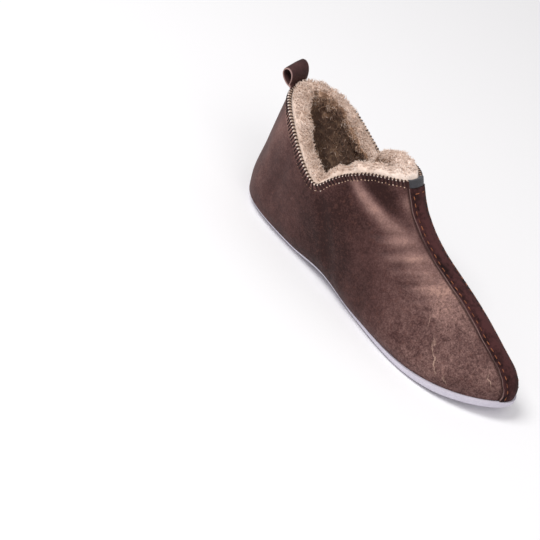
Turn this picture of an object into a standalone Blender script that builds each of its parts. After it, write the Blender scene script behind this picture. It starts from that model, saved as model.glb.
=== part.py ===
"""Sheepskin slipper boot for the right foot, modelled piece by piece at its real size.

The shoe stands on its sole with the toe towards +X and the inner side of the foot towards +Y. Every piece
is read from one surface, the last: a stack of closed loops round the foot, from the feather line where the
upper meets the sole (level 0) to the top of the collar (level 1). A loop is an oval whose half width changes
on the way round. The collar is cut through the loops, so it dips to a notch below each ankle.
"""

from collections import namedtuple

import bmesh
import bpy
import numpy as np

MM = 0.001

# Driving sizes in millimetres
TOE_X = 137.5
SOLE_THICK = 5.5
TOE_FLANGE = 3.0
HEEL_FLANGE = -1.5
TOE_EDGE = 2.6
HEEL_EDGE = 5.0
TOE_REACH = 2.6
HEEL_REACH = 8.0
EDGE_BACK = 0.0
EDGE_FRONT = 95.0
TOE_SPRING = 11.0
SPRING_START = 55.0
ARCH_RISE = 3.5
ARCH_BACK = -68.0
ARCH_FRONT = 8.0
TOE_SWING = 4.0
SWING_START = -20.0
WALL = 2.0
GAP = 0.3
LINING_GAP = 0.4
STRIP_THICK = 1.4
PILE = 10.0
FOOT_PILE = 3.0
FULL_PILE = 0.35
RIM_PILE = 12.5
RIM_PUFF = 5.0
THROAT_PUFF = 4.0
LOCK_HEIGHT = 1.1
LABEL_WIDTH = 16.0
LABEL_THICK = 0.8
LOOP_WIDTH = 19.0
LOOP_LENGTH = 15.8
LOOP_DEPTH = 12.5
LOOP_THICK = 1.5
LOOP_PINCH = 1.8
LOOP_LEAN = 33.0
LOOP_SKEW = 0.10
LOOP_TAPER = 0.8
LOOP_MOUTH = 14.0
LOOP_SHIFT = 3.0

# Shares of the outer half width that the inner side of the foot has, beside the ankle and at the heel
INNER_SIDE = 0.94
INNER_REAR = 1.08

# The collar's notch: its place round the loop and its spreads in degrees, and its depth in levels
NOTCH_ANGLE = 101.0
NOTCH_DEPTH = 0.30
NOTCH_ROUND = 4.0
NOTCH_FRONT_SPREAD = 24.5
NOTCH_REAR_SPREAD = 19.0

# The lining stands on the insole, at this level
INSOLE_LEVEL = 0.085
LINING_LEVEL = 0.090

# Steps of the meshes
AROUND = 72
RIM_STEPS = 6
EDGE_STEPS = 5
TURN_STEPS = 120
TURN_LIMIT = 60.0
SHARP_ANGLE = 40.0
LOCKS_AROUND = 18
LOCKS_UP = 4
NORMAL_STEP = 0.004
NORMAL_PASSES = 30

# One row for each loop: front and back ends with their rise over the feather line, then half widths at the
# nose, 45, 90 and 135 degrees on the outer side, the back, and 45 degrees on the inner side
Section = namedtuple(
    "Section", "level front_x front_rise back_x back_rise nose fore side rear back inner_fore"
)
SECTIONS = (
    Section(0.00, 131.5, 0.0, -136.0, 0.0, 36, 48.0, 36.5, 43.0, 58, 38.0),
    Section(0.12, 131.0, 8.0, -137.5, 9.0, 35, 51.0, 40.0, 46.0, 58, 38.5),
    Section(0.25, 125.5, 18.0, -138.0, 21.0, 31, 47.0, 40.5, 46.5, 57, 33.0),
    Section(0.40, 108.5, 31.0, -137.5, 35.5, 27, 39.5, 40.0, 46.5, 54, 26.0),
    Section(0.55, 77.0, 48.8, -137.0, 50.0, 24, 33.0, 38.5, 45.5, 50, 20.0),
    Section(0.72, 37.0, 62.3, -136.0, 65.0, 22, 29.5, 37.0, 42.5, 44, 18.0),
    Section(0.86, 9.0, 78.0, -135.5, 78.0, 22, 28.0, 34.5, 38.5, 39, 20.0),
    Section(1.00, -10.0, 98.5, -135.5, 90.5, 25, 29.0, 33.0, 35.0, 35, 23.0),
)

# Rows up the last, as shares of the way to the collar, closer where the toe and the throat bend
STRIP_TOP = 0.975
ROWS = (0, 0.045, 0.09, 0.135, 0.18, 0.23, 0.29, 0.37, 0.46, 0.56, 0.66, 0.75, 0.83, 0.91, STRIP_TOP, 1)
LINING_FIRST_ROW = 4

# Half width of the centre strip from the toe to its top, at these levels
StripWidth = namedtuple("StripWidth", "level half_width")
STRIP_WIDTHS = (StripWidth(0.0, 8.5), StripWidth(0.5, 9.2), StripWidth(1.0, 8.4))
STRIP_FOOT = 0.004
STRIP_ACROSS = 7
LABEL_SECTIONS = 9
LOOP_SECTIONS = 22
LOOP_ACROSS = 7


def spline(knots, rows, at):
    """Natural cubic spline through one row of values for each knot, read at an array of places."""
    count = len(knots)
    step = np.diff(knots)
    system = np.eye(count)
    right = np.zeros_like(rows)
    for i in range(1, count - 1):
        system[i, i - 1 : i + 2] = step[i - 1], 2 * (step[i - 1] + step[i]), step[i]
        right[i] = 6 * ((rows[i + 1] - rows[i]) / step[i] - (rows[i] - rows[i - 1]) / step[i - 1])
    bend = np.linalg.solve(system, right)
    i = np.clip(np.searchsorted(knots, at, side="right") - 1, 0, count - 2)
    width = step[i][..., None]
    left = (knots[i + 1] - at)[..., None] / width
    share = 1 - left
    curve = (left**3 - left) * bend[i] + (share**3 - share) * bend[i + 1]
    return left * rows[i] + share * rows[i + 1] + curve * width**2 / 6


def ground(x):
    """Height of the sole's underside: flat at heel and forefoot, raised at the arch and the toe."""
    spring = np.clip((x - SPRING_START) / (TOE_X - SPRING_START), 0, None)
    arch = np.clip((x - ARCH_BACK) / (ARCH_FRONT - ARCH_BACK), 0, 1)
    return TOE_SPRING * spring**2 + ARCH_RISE * np.sin(np.pi * arch) ** 2


def centre(x):
    """Sideways place of the front seam, which swings to the inner side towards the toe."""
    return TOE_SWING * np.clip((x - SWING_START) / (TOE_X - SWING_START), 0, None) ** 2


def closed_curve(values, angle):
    """Smooth closed curve through eight values at 45 degree steps: a Fourier series with four waves."""
    waves = np.fft.rfft(values, axis=-1) / 8
    total = waves[..., 0].real + (waves[..., 4] * np.exp(4j * angle)).real
    for k in (1, 2, 3):
        total = total + 2 * (waves[..., k] * np.exp(1j * k * angle)).real
    return total


def last(angle, level):
    """Point of the last at an angle round the foot (0 front seam, 90 outer side, 180 back) and a level."""
    angle, level = np.broadcast_arrays(np.asarray(angle, float), np.asarray(level, float))
    table = np.array(SECTIONS, float)
    values = np.moveaxis(spline(table[:, 0], table[:, 1:], level), -1, 0)
    front_x, front_rise, back_x, back_rise, nose, fore, side, rear, back, inner_fore = values
    widths = (nose, fore, side, rear, back, rear * INNER_REAR, side * INNER_SIDE, inner_fore)
    half_width = closed_curve(np.stack(widths, -1), angle)
    front_share = (1 + np.cos(angle)) / 2
    x = back_x + (front_x - back_x) * front_share
    y = centre(x) - np.sin(angle) * half_width
    rise = back_rise + (front_rise - back_rise) * front_share
    return np.stack((x, y, SOLE_THICK + GAP + ground(x) + rise), -1)


def unit(vectors):
    """Vectors scaled to length one."""
    return vectors / np.linalg.norm(vectors, axis=-1, keepdims=True)


def upward(angle, level):
    """Direction up the last along a line of equal angle."""
    return unit(last(angle, level + NORMAL_STEP) - last(angle, level - NORMAL_STEP))


def outward(angle, level):
    """Direction straight out of the last."""
    along = last(angle + NORMAL_STEP, level) - last(angle - NORMAL_STEP, level)
    return unit(np.cross(upward(angle, level), along))


def skin(angle, level, height):
    """Points at a height over the last, negative heights inside it."""
    return last(angle, level) + outward(angle, level) * np.asarray(height)[..., None]


def collar_level(angle):
    """Level of the collar's edge: an even top with a rounded notch cut into it on both sides."""
    turn = np.degrees(np.arccos(np.cos(angle))) - NOTCH_ANGLE
    reach = np.sqrt(turn**2 + NOTCH_ROUND**2) - NOTCH_ROUND
    spread = np.where(turn < 0, NOTCH_FRONT_SPREAD, NOTCH_REAR_SPREAD)
    return 1 - NOTCH_DEPTH * np.exp(-reach / spread)


def turn_at(level, distance):
    """Angle at which the way round the last from the front seam, at one level, has this length."""
    sign = 1 if distance >= 0 else -1
    angles = np.radians(np.linspace(0, TURN_LIMIT, TURN_STEPS)) * sign
    steps = np.linalg.norm(np.diff(last(angles, level), axis=0), axis=1)
    lengths = np.concatenate(([0], np.cumsum(steps)))
    return np.interp(abs(distance), lengths, angles * sign) * sign


def ring_angles():
    """Angles of the columns round the foot, half a step off the seams so that they pair across."""
    return (np.arange(AROUND) + 0.5) * 2 * np.pi / AROUND


def settled(normals):
    """Normals averaged with their neighbours, so that a thick offset doesn't fold at the ridge and toe."""
    for _ in range(NORMAL_PASSES):
        normals = normals + (np.roll(normals, 1, 0) + np.roll(normals, -1, 0)) / 2
        rows = np.concatenate((normals[:, :1], normals, normals[:, -1:]), 1)
        normals = unit(rows[:, 1:-1] + (rows[:, 2:] + rows[:, :-2]) / 2)
    return normals


def material(name, colour, roughness):
    """Plain finish of one piece."""
    finish = bpy.data.materials.new(name)
    finish.use_nodes = True
    shader = finish.node_tree.nodes["Principled BSDF"]
    shader.inputs["Base Color"].default_value = (*colour, 1)
    shader.inputs["Roughness"].default_value = roughness
    shader.inputs["Metallic"].default_value = 0
    return finish


def loft(name, sections, closed, finish, parent, collection):
    """Solid through closed sections of equal point counts, joined end to end or capped across.

    A cap pairs each point of a section with the one that mirrors it in the list, like the rungs of a ladder.
    """
    count, size = sections.shape[:2]
    faces = []
    for i in range(count if closed else count - 1):
        here = i * size
        following = (i + 1) % count * size
        for j in range(size):
            beside = (j + 1) % size
            faces.append((here + j, here + beside, following + beside, following + j))
    if not closed:
        for base in (0, (count - 1) * size):
            for j in range(size // 2 - 1):
                pair = size - 1 - j
                faces.append((base + j, base + j + 1, base + pair - 1, base + pair))
    mesh = bpy.data.meshes.new(name)
    mesh.from_pydata((sections.reshape(-1, 3) * MM).tolist(), [], faces)
    work = bmesh.new()
    work.from_mesh(mesh)
    bmesh.ops.recalc_face_normals(work, faces=work.faces[:])
    work.to_mesh(mesh)
    work.free()
    mesh.shade_smooth()
    mesh.set_sharp_from_angle(angle=np.radians(SHARP_ANGLE))
    mesh.materials.append(finish)
    piece = bpy.data.objects.new(name, mesh)
    piece.parent = parent
    collection.objects.link(piece)
    return piece


def upper_sections():
    """Leather wall: up the outside to the collar, over its edge and down the inside to the sole."""
    angle = ring_angles()[:, None]
    level = np.array(ROWS) * collar_level(angle)
    outside = last(angle, level)
    inside = skin(angle, level, np.full(level.shape, -WALL))
    inside[:, 0, 2] = outside[:, 0, 2]
    return np.concatenate((outside, inside[:, ::-1]), 1)


def lining_sections():
    """Wool pile: a thick coat inside the wall with a puffed rim over the collar, raised in soft locks."""
    angle = ring_angles()[:, None]
    climb = np.array((0, *ROWS[LINING_FIRST_ROW:]))
    level = np.maximum(climb * collar_level(angle), LINING_LEVEL)
    outside = skin(angle, level, np.full(level.shape, -WALL - LINING_GAP))
    inward = -settled(outward(angle, level))
    locks = np.sin(LOCKS_AROUND * angle) * np.cos(LOCKS_UP * np.pi * climb)
    pile = FOOT_PILE + (PILE - FOOT_PILE) * np.clip(climb / FULL_PILE, 0, 1)
    pile = pile + (RIM_PILE - PILE) * climb**3 + LOCK_HEIGHT * climb * locks
    inside = outside + inward * pile[..., None]
    inside[..., 2] = np.maximum(inside[..., 2], outside[:, :1, 2])
    puff = RIM_PUFF + THROAT_PUFF * np.exp(-(angle_from_front(angle) ** 2)) + LOCK_HEIGHT * locks[:, -1:]
    arc = np.linspace(0, np.pi, RIM_STEPS)[1:-1]
    share = ((1 - np.cos(arc)) / 2)[:, None]
    rim = outside[:, -1:] + (inside[:, -1:] - outside[:, -1:]) * share
    rim = rim + upward(angle, level[:, -1:]) * (puff * np.sin(arc))[..., None]
    return np.concatenate((outside, rim, inside[:, ::-1]), 1)


def angle_from_front(angle):
    """Angle to the front seam, either way round."""
    return np.arccos(np.cos(angle))


def sole_sections():
    """Outsole: outlines stacked from the tread to the top, with the lower edge rounded over."""
    angle = ring_angles()
    feather = last(angle, np.zeros(AROUND))
    side = outward(angle, np.zeros(AROUND))
    side[:, 2] = 0
    side = unit(side)
    ends = (EDGE_BACK, EDGE_FRONT)
    flange = np.interp(feather[:, 0], ends, (HEEL_FLANGE, TOE_FLANGE))
    edge = np.interp(feather[:, 0], ends, (HEEL_EDGE, TOE_EDGE))
    reach = np.interp(feather[:, 0], ends, (HEEL_REACH, TOE_REACH))
    rings = []
    for quarter in np.linspace(0, np.pi / 2, EDGE_STEPS):
        ring = feather + side * (flange - reach * (1 - np.sin(quarter)))[:, None]
        ring[:, 2] = ground(ring[:, 0]) + edge * (1 - np.cos(quarter))
        rings.append(ring)
    top = rings[-1].copy()
    top[:, 2] = ground(top[:, 0]) + SOLE_THICK
    rings.append(top)
    return np.array(rings)


def insole_sections():
    """Footbed: fills the bottom of the upper from the outsole to the foot of the lining."""
    angle = ring_angles()
    rings = []
    for level in (0.0, INSOLE_LEVEL):
        ring = skin(angle, np.full(AROUND, level), np.full(AROUND, -WALL - GAP))
        rings.append(ring)
    rings[0][:, 2] = SOLE_THICK + GAP + ground(rings[0][:, 0])
    return np.array(rings)


def strip_sections():
    """Centre strip: follows the front seam from the sole up to the label, bent over the ridge."""
    widths = np.array(STRIP_WIDTHS)
    shares = np.linspace(-1, 1, STRIP_ACROSS)
    sections = []
    for climb in (STRIP_FOOT, *ROWS[1:-1]):
        half = np.interp(climb, widths[:, 0], widths[:, 1])
        angle = np.array([turn_at(climb, half * share) for share in shares])
        level = climb * collar_level(angle)
        under = skin(angle, level, np.full(STRIP_ACROSS, GAP))
        over = skin(angle, level, np.full(STRIP_ACROSS, GAP + STRIP_THICK))
        sections.append(np.concatenate((over, under[::-1])))
    return np.array(sections)


def label_sections():
    """Label tab: hangs outside the collar over the end of the strip and folds onto the collar's edge."""
    outer = GAP + LABEL_THICK
    sections = []
    for place in np.linspace(-LABEL_WIDTH / 2, LABEL_WIDTH / 2, LABEL_SECTIONS):
        angle = turn_at(1.0, place)
        level = collar_level(angle)
        up = upward(angle, level)
        hem = up * GAP
        sections.append((
            skin(angle, level * STRIP_TOP, outer) + hem,
            skin(angle, level, outer) + up * outer,
            skin(angle, level, -WALL) + up * outer,
            skin(angle, level, -WALL) + up * GAP,
            skin(angle, level, GAP) + up * GAP,
            skin(angle, level * STRIP_TOP, GAP) + hem,
        ))
    return np.array(sections)


def loop_sections():
    """Pull loop: a leather strip bent to a drop over the back of the collar, its ends pinched together."""
    mouth = np.radians(LOOP_MOUTH)
    turns = np.linspace(mouth, 2 * np.pi - mouth, LOOP_SECTIONS)
    sideways = np.sin(turns) * np.sin(turns / 2) ** LOOP_TAPER
    climb = (1 - np.cos(turns)) / 2
    outer = np.stack((sideways * LOOP_DEPTH / 2, climb * LOOP_LENGTH), 1)
    inner = np.stack((
        sideways * (LOOP_DEPTH / 2 - LOOP_THICK),
        LOOP_PINCH + climb * (LOOP_LENGTH - LOOP_THICK - LOOP_PINCH),
    ), 1)
    per_mm = 0.1 / np.linalg.norm(last(np.pi, 1.0) - last(np.pi - 0.1, 1.0))
    places = np.linspace(-LOOP_WIDTH / 2, LOOP_WIDTH / 2, LOOP_ACROSS) - LOOP_SHIFT
    angles = np.pi + places * per_mm
    seat = skin(angles, collar_level(angles), np.full(LOOP_ACROSS, -WALL / 2))
    straight = np.stack((np.full(LOOP_ACROSS, seat[:, 0].min()), seat[:, 1], seat[:, 2]), 1)
    lean = np.radians(LOOP_LEAN)
    along = np.array((-np.sin(lean), 0.0, np.cos(lean)))
    across = np.array((-np.cos(lean), 0.0, -np.sin(lean)))
    skew = (1 + LOOP_SKEW * np.linspace(-1, 1, LOOP_ACROSS))[:, None]
    lift = np.array((0.0, 0.0, GAP))
    sections = []
    for pair in zip(outer, inner):
        rings = []
        for side, up in pair:
            root = seat + (straight - seat) * min(up / LOOP_PINCH, 1)
            rings.append(root + lift + across * side + along * up * skew)
        sections.append(np.concatenate((rings[0], rings[1][::-1])))
    return np.array(sections)


def stand_over_origin(frame, pieces):
    """Moves the shoe's frame so that the origin lies on the floor under the middle of the shoe's box."""
    corners = np.array([corner for piece in pieces for corner in piece.bound_box])
    middle = (corners.min(0) + corners.max(0)) / 2
    frame.location = (-middle[0], -middle[1], 0)


def clear_scene():
    """Removes every object of the open scene."""
    for item in list(bpy.data.objects):
        bpy.data.objects.remove(item, do_unlink=True)


def main():
    clear_scene()
    collection = bpy.data.collections.new("sheepskin_slipper_boot")
    bpy.context.scene.collection.children.link(collection)
    frame = bpy.data.objects.new("shoe", None)
    collection.objects.link(frame)
    foam = material("foam_white", (0.68, 0.65, 0.72), 0.6)
    hide = material("brown_leather", (0.14, 0.075, 0.06), 0.55)
    wool = material("wool", (0.55, 0.45, 0.38), 0.95)
    suede = material("dark_suede", (0.05, 0.022, 0.02), 0.85)
    webbing = material("label_grey", (0.035, 0.037, 0.043), 0.7)
    loop_hide = material("dark_leather", (0.07, 0.03, 0.028), 0.45)
    pieces = (
        loft("outsole", sole_sections(), False, foam, frame, collection),
        loft("insole", insole_sections(), False, wool, frame, collection),
        loft("upper", upper_sections(), True, hide, frame, collection),
        loft("wool_lining", lining_sections(), True, wool, frame, collection),
        loft("centre_strip", strip_sections(), False, suede, frame, collection),
        loft("label_tab", label_sections(), False, webbing, frame, collection),
        loft("pull_loop", loop_sections(), True, loop_hide, frame, collection),
    )
    stand_over_origin(frame, pieces)


main()
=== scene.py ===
"""Looks of a sheepskin slipper boot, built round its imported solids.

Every surface is read from the last, a stack of closed loops round the foot, with the same driving sizes as
the solids. Lengths along the last are in millimetres. Each finished mesh is in metres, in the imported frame.
"""

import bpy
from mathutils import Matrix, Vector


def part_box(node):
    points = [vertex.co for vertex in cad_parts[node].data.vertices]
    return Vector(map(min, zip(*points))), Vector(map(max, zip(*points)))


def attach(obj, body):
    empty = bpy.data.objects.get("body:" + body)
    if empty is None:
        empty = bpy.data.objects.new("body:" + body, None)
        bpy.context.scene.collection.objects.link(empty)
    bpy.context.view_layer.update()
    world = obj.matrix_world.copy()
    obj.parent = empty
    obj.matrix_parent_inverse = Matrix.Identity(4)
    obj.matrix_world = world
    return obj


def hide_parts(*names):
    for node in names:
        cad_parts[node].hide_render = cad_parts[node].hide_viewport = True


bl_info = {
    "name": "Sheepskin slipper boot",
    "version": (1, 0, 0),
    "blender": (4, 5, 0),
    "location": "3D View > Sidebar > Slipper",
    "description": "Hide, wool, strip, thread, loop and sole of a slipper boot on a plain stage",
    "category": "Object",
}

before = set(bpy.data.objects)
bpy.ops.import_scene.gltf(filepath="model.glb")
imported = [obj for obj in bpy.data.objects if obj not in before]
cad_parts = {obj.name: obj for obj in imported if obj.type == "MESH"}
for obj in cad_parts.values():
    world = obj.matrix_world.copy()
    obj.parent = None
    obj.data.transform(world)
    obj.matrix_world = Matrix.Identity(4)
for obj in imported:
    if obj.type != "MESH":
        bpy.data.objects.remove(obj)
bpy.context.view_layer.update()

from collections import namedtuple

import bpy
import numpy as np
from bpy.props import FloatProperty, FloatVectorProperty, IntProperty, PointerProperty
from bpy.types import Operator, Panel, PropertyGroup
from mathutils import Matrix, Vector

MM = 0.001
BODY = "root"

# Driving sizes of the last in millimetres, as in the solids
TOE_X = 137.5
SOLE_THICK = 5.5
TOE_FLANGE = 3.0
HEEL_FLANGE = -1.5
TOE_EDGE = 2.6
HEEL_EDGE = 5.0
TOE_REACH = 2.6
HEEL_REACH = 8.0
EDGE_BACK = 0.0
EDGE_FRONT = 95.0
TOE_SPRING = 11.0
SPRING_START = 55.0
ARCH_RISE = 3.5
ARCH_BACK = -68.0
ARCH_FRONT = 8.0
TOE_SWING = 4.0
SWING_START = -20.0
WALL = 2.0
GAP = 0.3
LINING_GAP = 0.4
STRIP_THICK = 1.4
PILE = 10.0
FOOT_PILE = 3.0
FULL_PILE = 0.35
RIM_PILE = 12.5
RIM_PUFF = 5.0
THROAT_PUFF = 4.0
LOCK_HEIGHT = 1.1
LOCKS_AROUND = 18
LOCKS_UP = 4
LABEL_WIDTH = 16.0
LABEL_THICK = 0.8
LOOP_WIDTH = 19.0
LOOP_LENGTH = 15.8
LOOP_DEPTH = 12.5
LOOP_THICK = 1.5
LOOP_PINCH = 1.8
LOOP_LEAN = 33.0
LOOP_SKEW = 0.10
LOOP_TAPER = 0.8
LOOP_MOUTH = 14.0
LOOP_SHIFT = 3.0
INNER_SIDE = 0.94
INNER_REAR = 1.08
NOTCH_ANGLE = 101.0
NOTCH_DEPTH = 0.30
NOTCH_ROUND = 4.0
NOTCH_FRONT_SPREAD = 24.5
NOTCH_REAR_SPREAD = 19.0
INSOLE_LEVEL = 0.085
LINING_LEVEL = 0.090
LINING_COLUMNS = 72
LINING_RIM_STEPS = 8
NORMAL_STEP = 0.004
NORMAL_PASSES = 30

# Hide: how deep a fold may be, how far folds keep from the front seam, the level below which they fade, the
# sunk back seam with the ridges beside it, and the rise of the collar's rounded edge
DEEPEST_FOLD = 1.2
STRIP_CLEAR = 10.0
STRIP_FADE = 4.5
FOOT_FADE = 0.12
BACK_SEAM_DEPTH = 0.9
BACK_SEAM_WIDTH = 0.8
BACK_RIDGE_HEIGHT = 0.3
BACK_RIDGE_PLACE = 2.4
BACK_RIDGE_WIDTH = 1.2
HIDE_RIM_RISE = 0.5

# Tone of the hide: where the toe's wear starts and how long it takes, the pucker at the collar, the paler
# heights, and the even tone of the collar's edge and the covered inner face
WEAR_START = 10.0
WEAR_LENGTH = 70.0
PUCKER_REACH = 6.5
PUCKER_TONE = 0.5
HEIGHT_TONE = 0.09
HEIGHT_LIMIT = 1.5
INNER_TONE = 0.4

# Strip and its stitches: the rounded edges, the dip that a stitch draws, how deep the stitches sit, and the
# shares of the way to the collar at which their rows start and end
STRIP_ROUNDING = 0.45
STITCH_DIP = 0.28
STITCH_DIP_WIDTH = 0.9
STITCH_SINK = 0.34
TOP_STITCH_SINK = 0.1
FIRST_STITCH = 0.012
LAST_STITCH = 0.955
TOP_STITCH = 0.957

# Tab: its length with the fold, the bend onto the collar's edge and its lift, and how far the waves of its
# weave turn in a millimetre, in radians
LABEL_LENGTH = 9.0
LABEL_BEND = 0.6
LABEL_LIFT = 0.1
THREAD_WAVES = 7.5

# Wool: sizes and heights of clumps and curls, the lean of a lock, the way down to the deep colour (longer and
# sooner on the inner side), its waver, and the least depth at the rim away from the throat. The deep colour
# is partly the wool's own browner depth and partly painted shade inside the opening; the least depth at the
# rim dims it away from the throat, whose puff is left paler as painted light from above
CLUMP_SIZE = 5.2
CLUMP_HEIGHT = 1.3
CURL_SIZE = 2.3
CURL_HEIGHT = 0.8
PILE_SINK = 0.9
LOCK_SIZE = 6.0
LOCK_LEAN = 0.75
DEEP_DROP = 31.0
INNER_DROP = 6.0
INNER_HEAD_START = 13.0
DROP_WAVER = 10.0
RIM_DEPTH = 0.16
THROAT_WIDTH = 0.95
# The footbed takes the deepest wool colour and dimmed tips: like the deep wool, partly its own browner colour
# and partly painted shade
FOOTBED_DEPTH = 1.25
FOOTBED_FIBRE_DEPTH = 0.9
FOOTBED_TIP = 0.75
FOOTBED_EDGE = 3

# Shading: the edge angle in degrees above which it breaks, and the spread of a cloth's sheen
SHARP_ANGLE = 50.0
SHEEN_ROUGHNESS = 0.6

# Floor in metres, film width in millimetres and tint of the even light
FLOOR_REACH = 4.0
FLOOR_HEIGHT = -0.0002
SENSOR_WIDTH = 36.0
SKY_TINT = (1.0, 0.985, 1.0)

# Steps of the meshes, and of the ways round the last (the one at the front seam up to an angle in degrees)
TURN_STEPS = 4001
SEAM_STEPS = 241
SEAM_LIMIT = 60.0
HIDE_COLUMNS = 600
HIDE_ROWS = 128
HIDE_RIM_STEPS = 6
HIDE_INNER_ROWS = 9
STRIP_ROWS = 190
STRIP_ACROSS = 33
STITCH_ROWS = 160
STITCHES_ACROSS = 60
STITCH_STEPS = 9
THREAD_SIDES = 6
LABEL_COLUMNS = 41
LABEL_HANG = 8
LABEL_FOLD = 7
LABEL_END = 5
PILE_COLUMN_STEPS = 6
PILE_ROW_STEPS = 4
FIBRE_SIDES = 3
FOOTBED_COLUMNS = 240
FOOTBED_ROWS = 40
LOOP_STEPS = 88
LOOP_ACROSS = 23
SOLE_COLUMNS = 480
SOLE_EDGE_STEPS = 12
SOLE_MEASURE_COLUMNS = 720

# Seeds of the random draws
STITCH_SEED = 40
TOP_STITCH_SEED = 44
OVERCAST_SEED = 51
LOCK_SEED = 60
RIM_SEED = 81
INNER_SEED = 82
FOOTBED_SEED = 83

# One row for each loop: front and back ends with their rise over the feather line, then half widths at the
# nose, 45, 90 and 135 degrees on the outer side, the back, and 45 degrees on the inner side
Section = namedtuple(
    "Section", "level front_x front_rise back_x back_rise nose fore side rear back inner_fore"
)
SECTIONS = (
    Section(0.00, 131.5, 0.0, -136.0, 0.0, 36, 48.0, 36.5, 43.0, 58, 38.0),
    Section(0.12, 131.0, 8.0, -137.5, 9.0, 35, 51.0, 40.0, 46.0, 58, 38.5),
    Section(0.25, 125.5, 18.0, -138.0, 21.0, 31, 47.0, 40.5, 46.5, 57, 33.0),
    Section(0.40, 108.5, 31.0, -137.5, 35.5, 27, 39.5, 40.0, 46.5, 54, 26.0),
    Section(0.55, 77.0, 48.8, -137.0, 50.0, 24, 33.0, 38.5, 45.5, 50, 20.0),
    Section(0.72, 37.0, 62.3, -136.0, 65.0, 22, 29.5, 37.0, 42.5, 44, 18.0),
    Section(0.86, 9.0, 78.0, -135.5, 78.0, 22, 28.0, 34.5, 38.5, 39, 20.0),
    Section(1.00, -10.0, 98.5, -135.5, 90.5, 25, 29.0, 33.0, 35.0, 35, 23.0),
)
STRIP_TOP = 0.975
STRIP_FOOT = 0.004
LINING_ROWS = (0, 0.18, 0.23, 0.29, 0.37, 0.46, 0.56, 0.66, 0.75, 0.83, 0.91, STRIP_TOP, 1)

# Half width of the centre strip from the toe to its top, at these levels
StripWidth = namedtuple("StripWidth", "level half_width")
STRIP_WIDTHS = (StripWidth(0.0, 8.5), StripWidth(0.5, 9.2), StripWidth(1.0, 8.4))

# A thread bar from its foot outside, over the collar's edge, to its foot inside: share of its reach below the
# edge, share of the wall's thickness, rise over the edge, how far it stands off the hide, and its thickness
BarStep = namedtuple("BarStep", "fall across rise hug thick")
BAR_STEPS = (
    BarStep(1.00, 0.00, 0.00, -0.8, 0.5),
    BarStep(0.80, 0.00, 0.00, 0.6, 0.9),
    BarStep(0.55, 0.00, 0.00, 1.0, 1.0),
    BarStep(0.30, 0.00, 0.00, 1.0, 1.0),
    BarStep(0.10, 0.00, 0.10, 1.0, 1.0),
    BarStep(0.00, 0.10, 0.70, 1.0, 1.0),
    BarStep(0.00, 0.35, 0.95, 0.0, 1.0),
    BarStep(0.00, 0.65, 0.95, 0.0, 1.0),
    BarStep(0.00, 0.90, 0.70, 0.0, 1.0),
    BarStep(0.35, 1.00, 0.00, 0.0, 0.9),
    BarStep(0.70, 1.00, 0.00, 0.0, 0.5),
)

# Thickness along a dot of wool, and along a fibre from its root
DOT_SHAPE = (0.2, 0.8, 1.0, 0.8, 0.2)
FIBRE_TAPER = (1.0, 0.95, 0.8, 0.55, 0.2)

# Creases of the hide, on the outer side (1) or the inner side (-1): both ends as length along the foot and
# height, a sideways bow, the depth (a ridge is negative) and the width
Fold = namedtuple("Fold", "side x0 z0 x1 z1 bow depth width")
FOLDS = (
    Fold(1, -56, 66, -18, 12, 3, 1.2, 7.0),
    Fold(1, -43, 91, 13, 75, -4.0, -2.6, 5.5),
    Fold(1, -34, 97, 10, 77, 0.5, 3.4, 6.0),
    Fold(1, -6, 66, 14, 75, 0.6, 1.3, 2.0),
    Fold(1, 0, 63, 20, 73, 0.8, -1.5, 2.3),
    Fold(1, 7, 60, 27, 71, 0.8, 1.6, 2.0),
    Fold(1, 12, 58, 32, 69, -0.6, -1.6, 2.3),
    Fold(1, 17, 55, 38, 66, 0.7, 1.8, 2.1),
    Fold(1, 24, 54, 43, 64, 0.5, -1.5, 2.2),
    Fold(1, 30, 50, 49, 61, -0.6, 1.7, 2.0),
    Fold(1, 36, 49, 54, 59, 0.6, -1.4, 2.2),
    Fold(1, 42, 45, 60, 56, 0.8, 1.4, 2.0),
    Fold(1, 52, 44, 66, 52, -0.5, 1.0, 1.9),
    Fold(1, 38, 38, 57, 13, 2, 0.8, 4.0),
    Fold(1, 60, 40, 66, 18, -2, 0.5, 5.0),
    Fold(1, -96, 74, -100, 16, 3, 0.8, 8.0),
    Fold(1, -118, 80, -120, 14, 2, -0.6, 7.0),
    Fold(1, -76, 50, -74, 14, -2, -0.7, 9.0),
    Fold(1, 2, 40, 16, 14, 2, 0.6, 6.0),
    Fold(-1, -58, 66, -24, 12, 3, 1.1, 7.0),
    Fold(-1, -44, 88, 22, 62, -3, -1.2, 6.0),
    Fold(-1, -28, 96, 4, 78, -2, 1.0, 6.0),
    Fold(-1, 8, 58, 28, 67, 0.5, 1.4, 2.2),
    Fold(-1, 16, 56, 36, 64, 0.5, -1.3, 2.4),
    Fold(-1, 28, 50, 48, 58, -0.6, 1.5, 2.2),
    Fold(-1, 46, 42, 64, 49, 0.4, 1.1, 2.2),
    Fold(-1, 40, 34, 52, 13, 2, 0.8, 4.5),
    Fold(-1, -98, 72, -104, 16, 3, 0.7, 8.0),
    Fold(-1, -78, 48, -72, 14, -2, -0.6, 9.0),
)

# Slow waves of the hide
Wave = namedtuple("Wave", "size height seed")
WAVES = (Wave(26, 0.5, 3), Wave(11, 0.22, 5))

# Even tone of the hide at these lengths along the foot, from 0 dark to 1 pale
ToneStep = namedtuple("ToneStep", "x tone")
TONES = (
    ToneStep(-140, 0.30), ToneStep(-100, 0.25), ToneStep(-64, 0.17),
    ToneStep(-40, 0.06), ToneStep(-10, 0.12), ToneStep(25, 0.28),
    ToneStep(55, 0.45), ToneStep(90, 0.54), ToneStep(140, 0.55),
)
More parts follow.
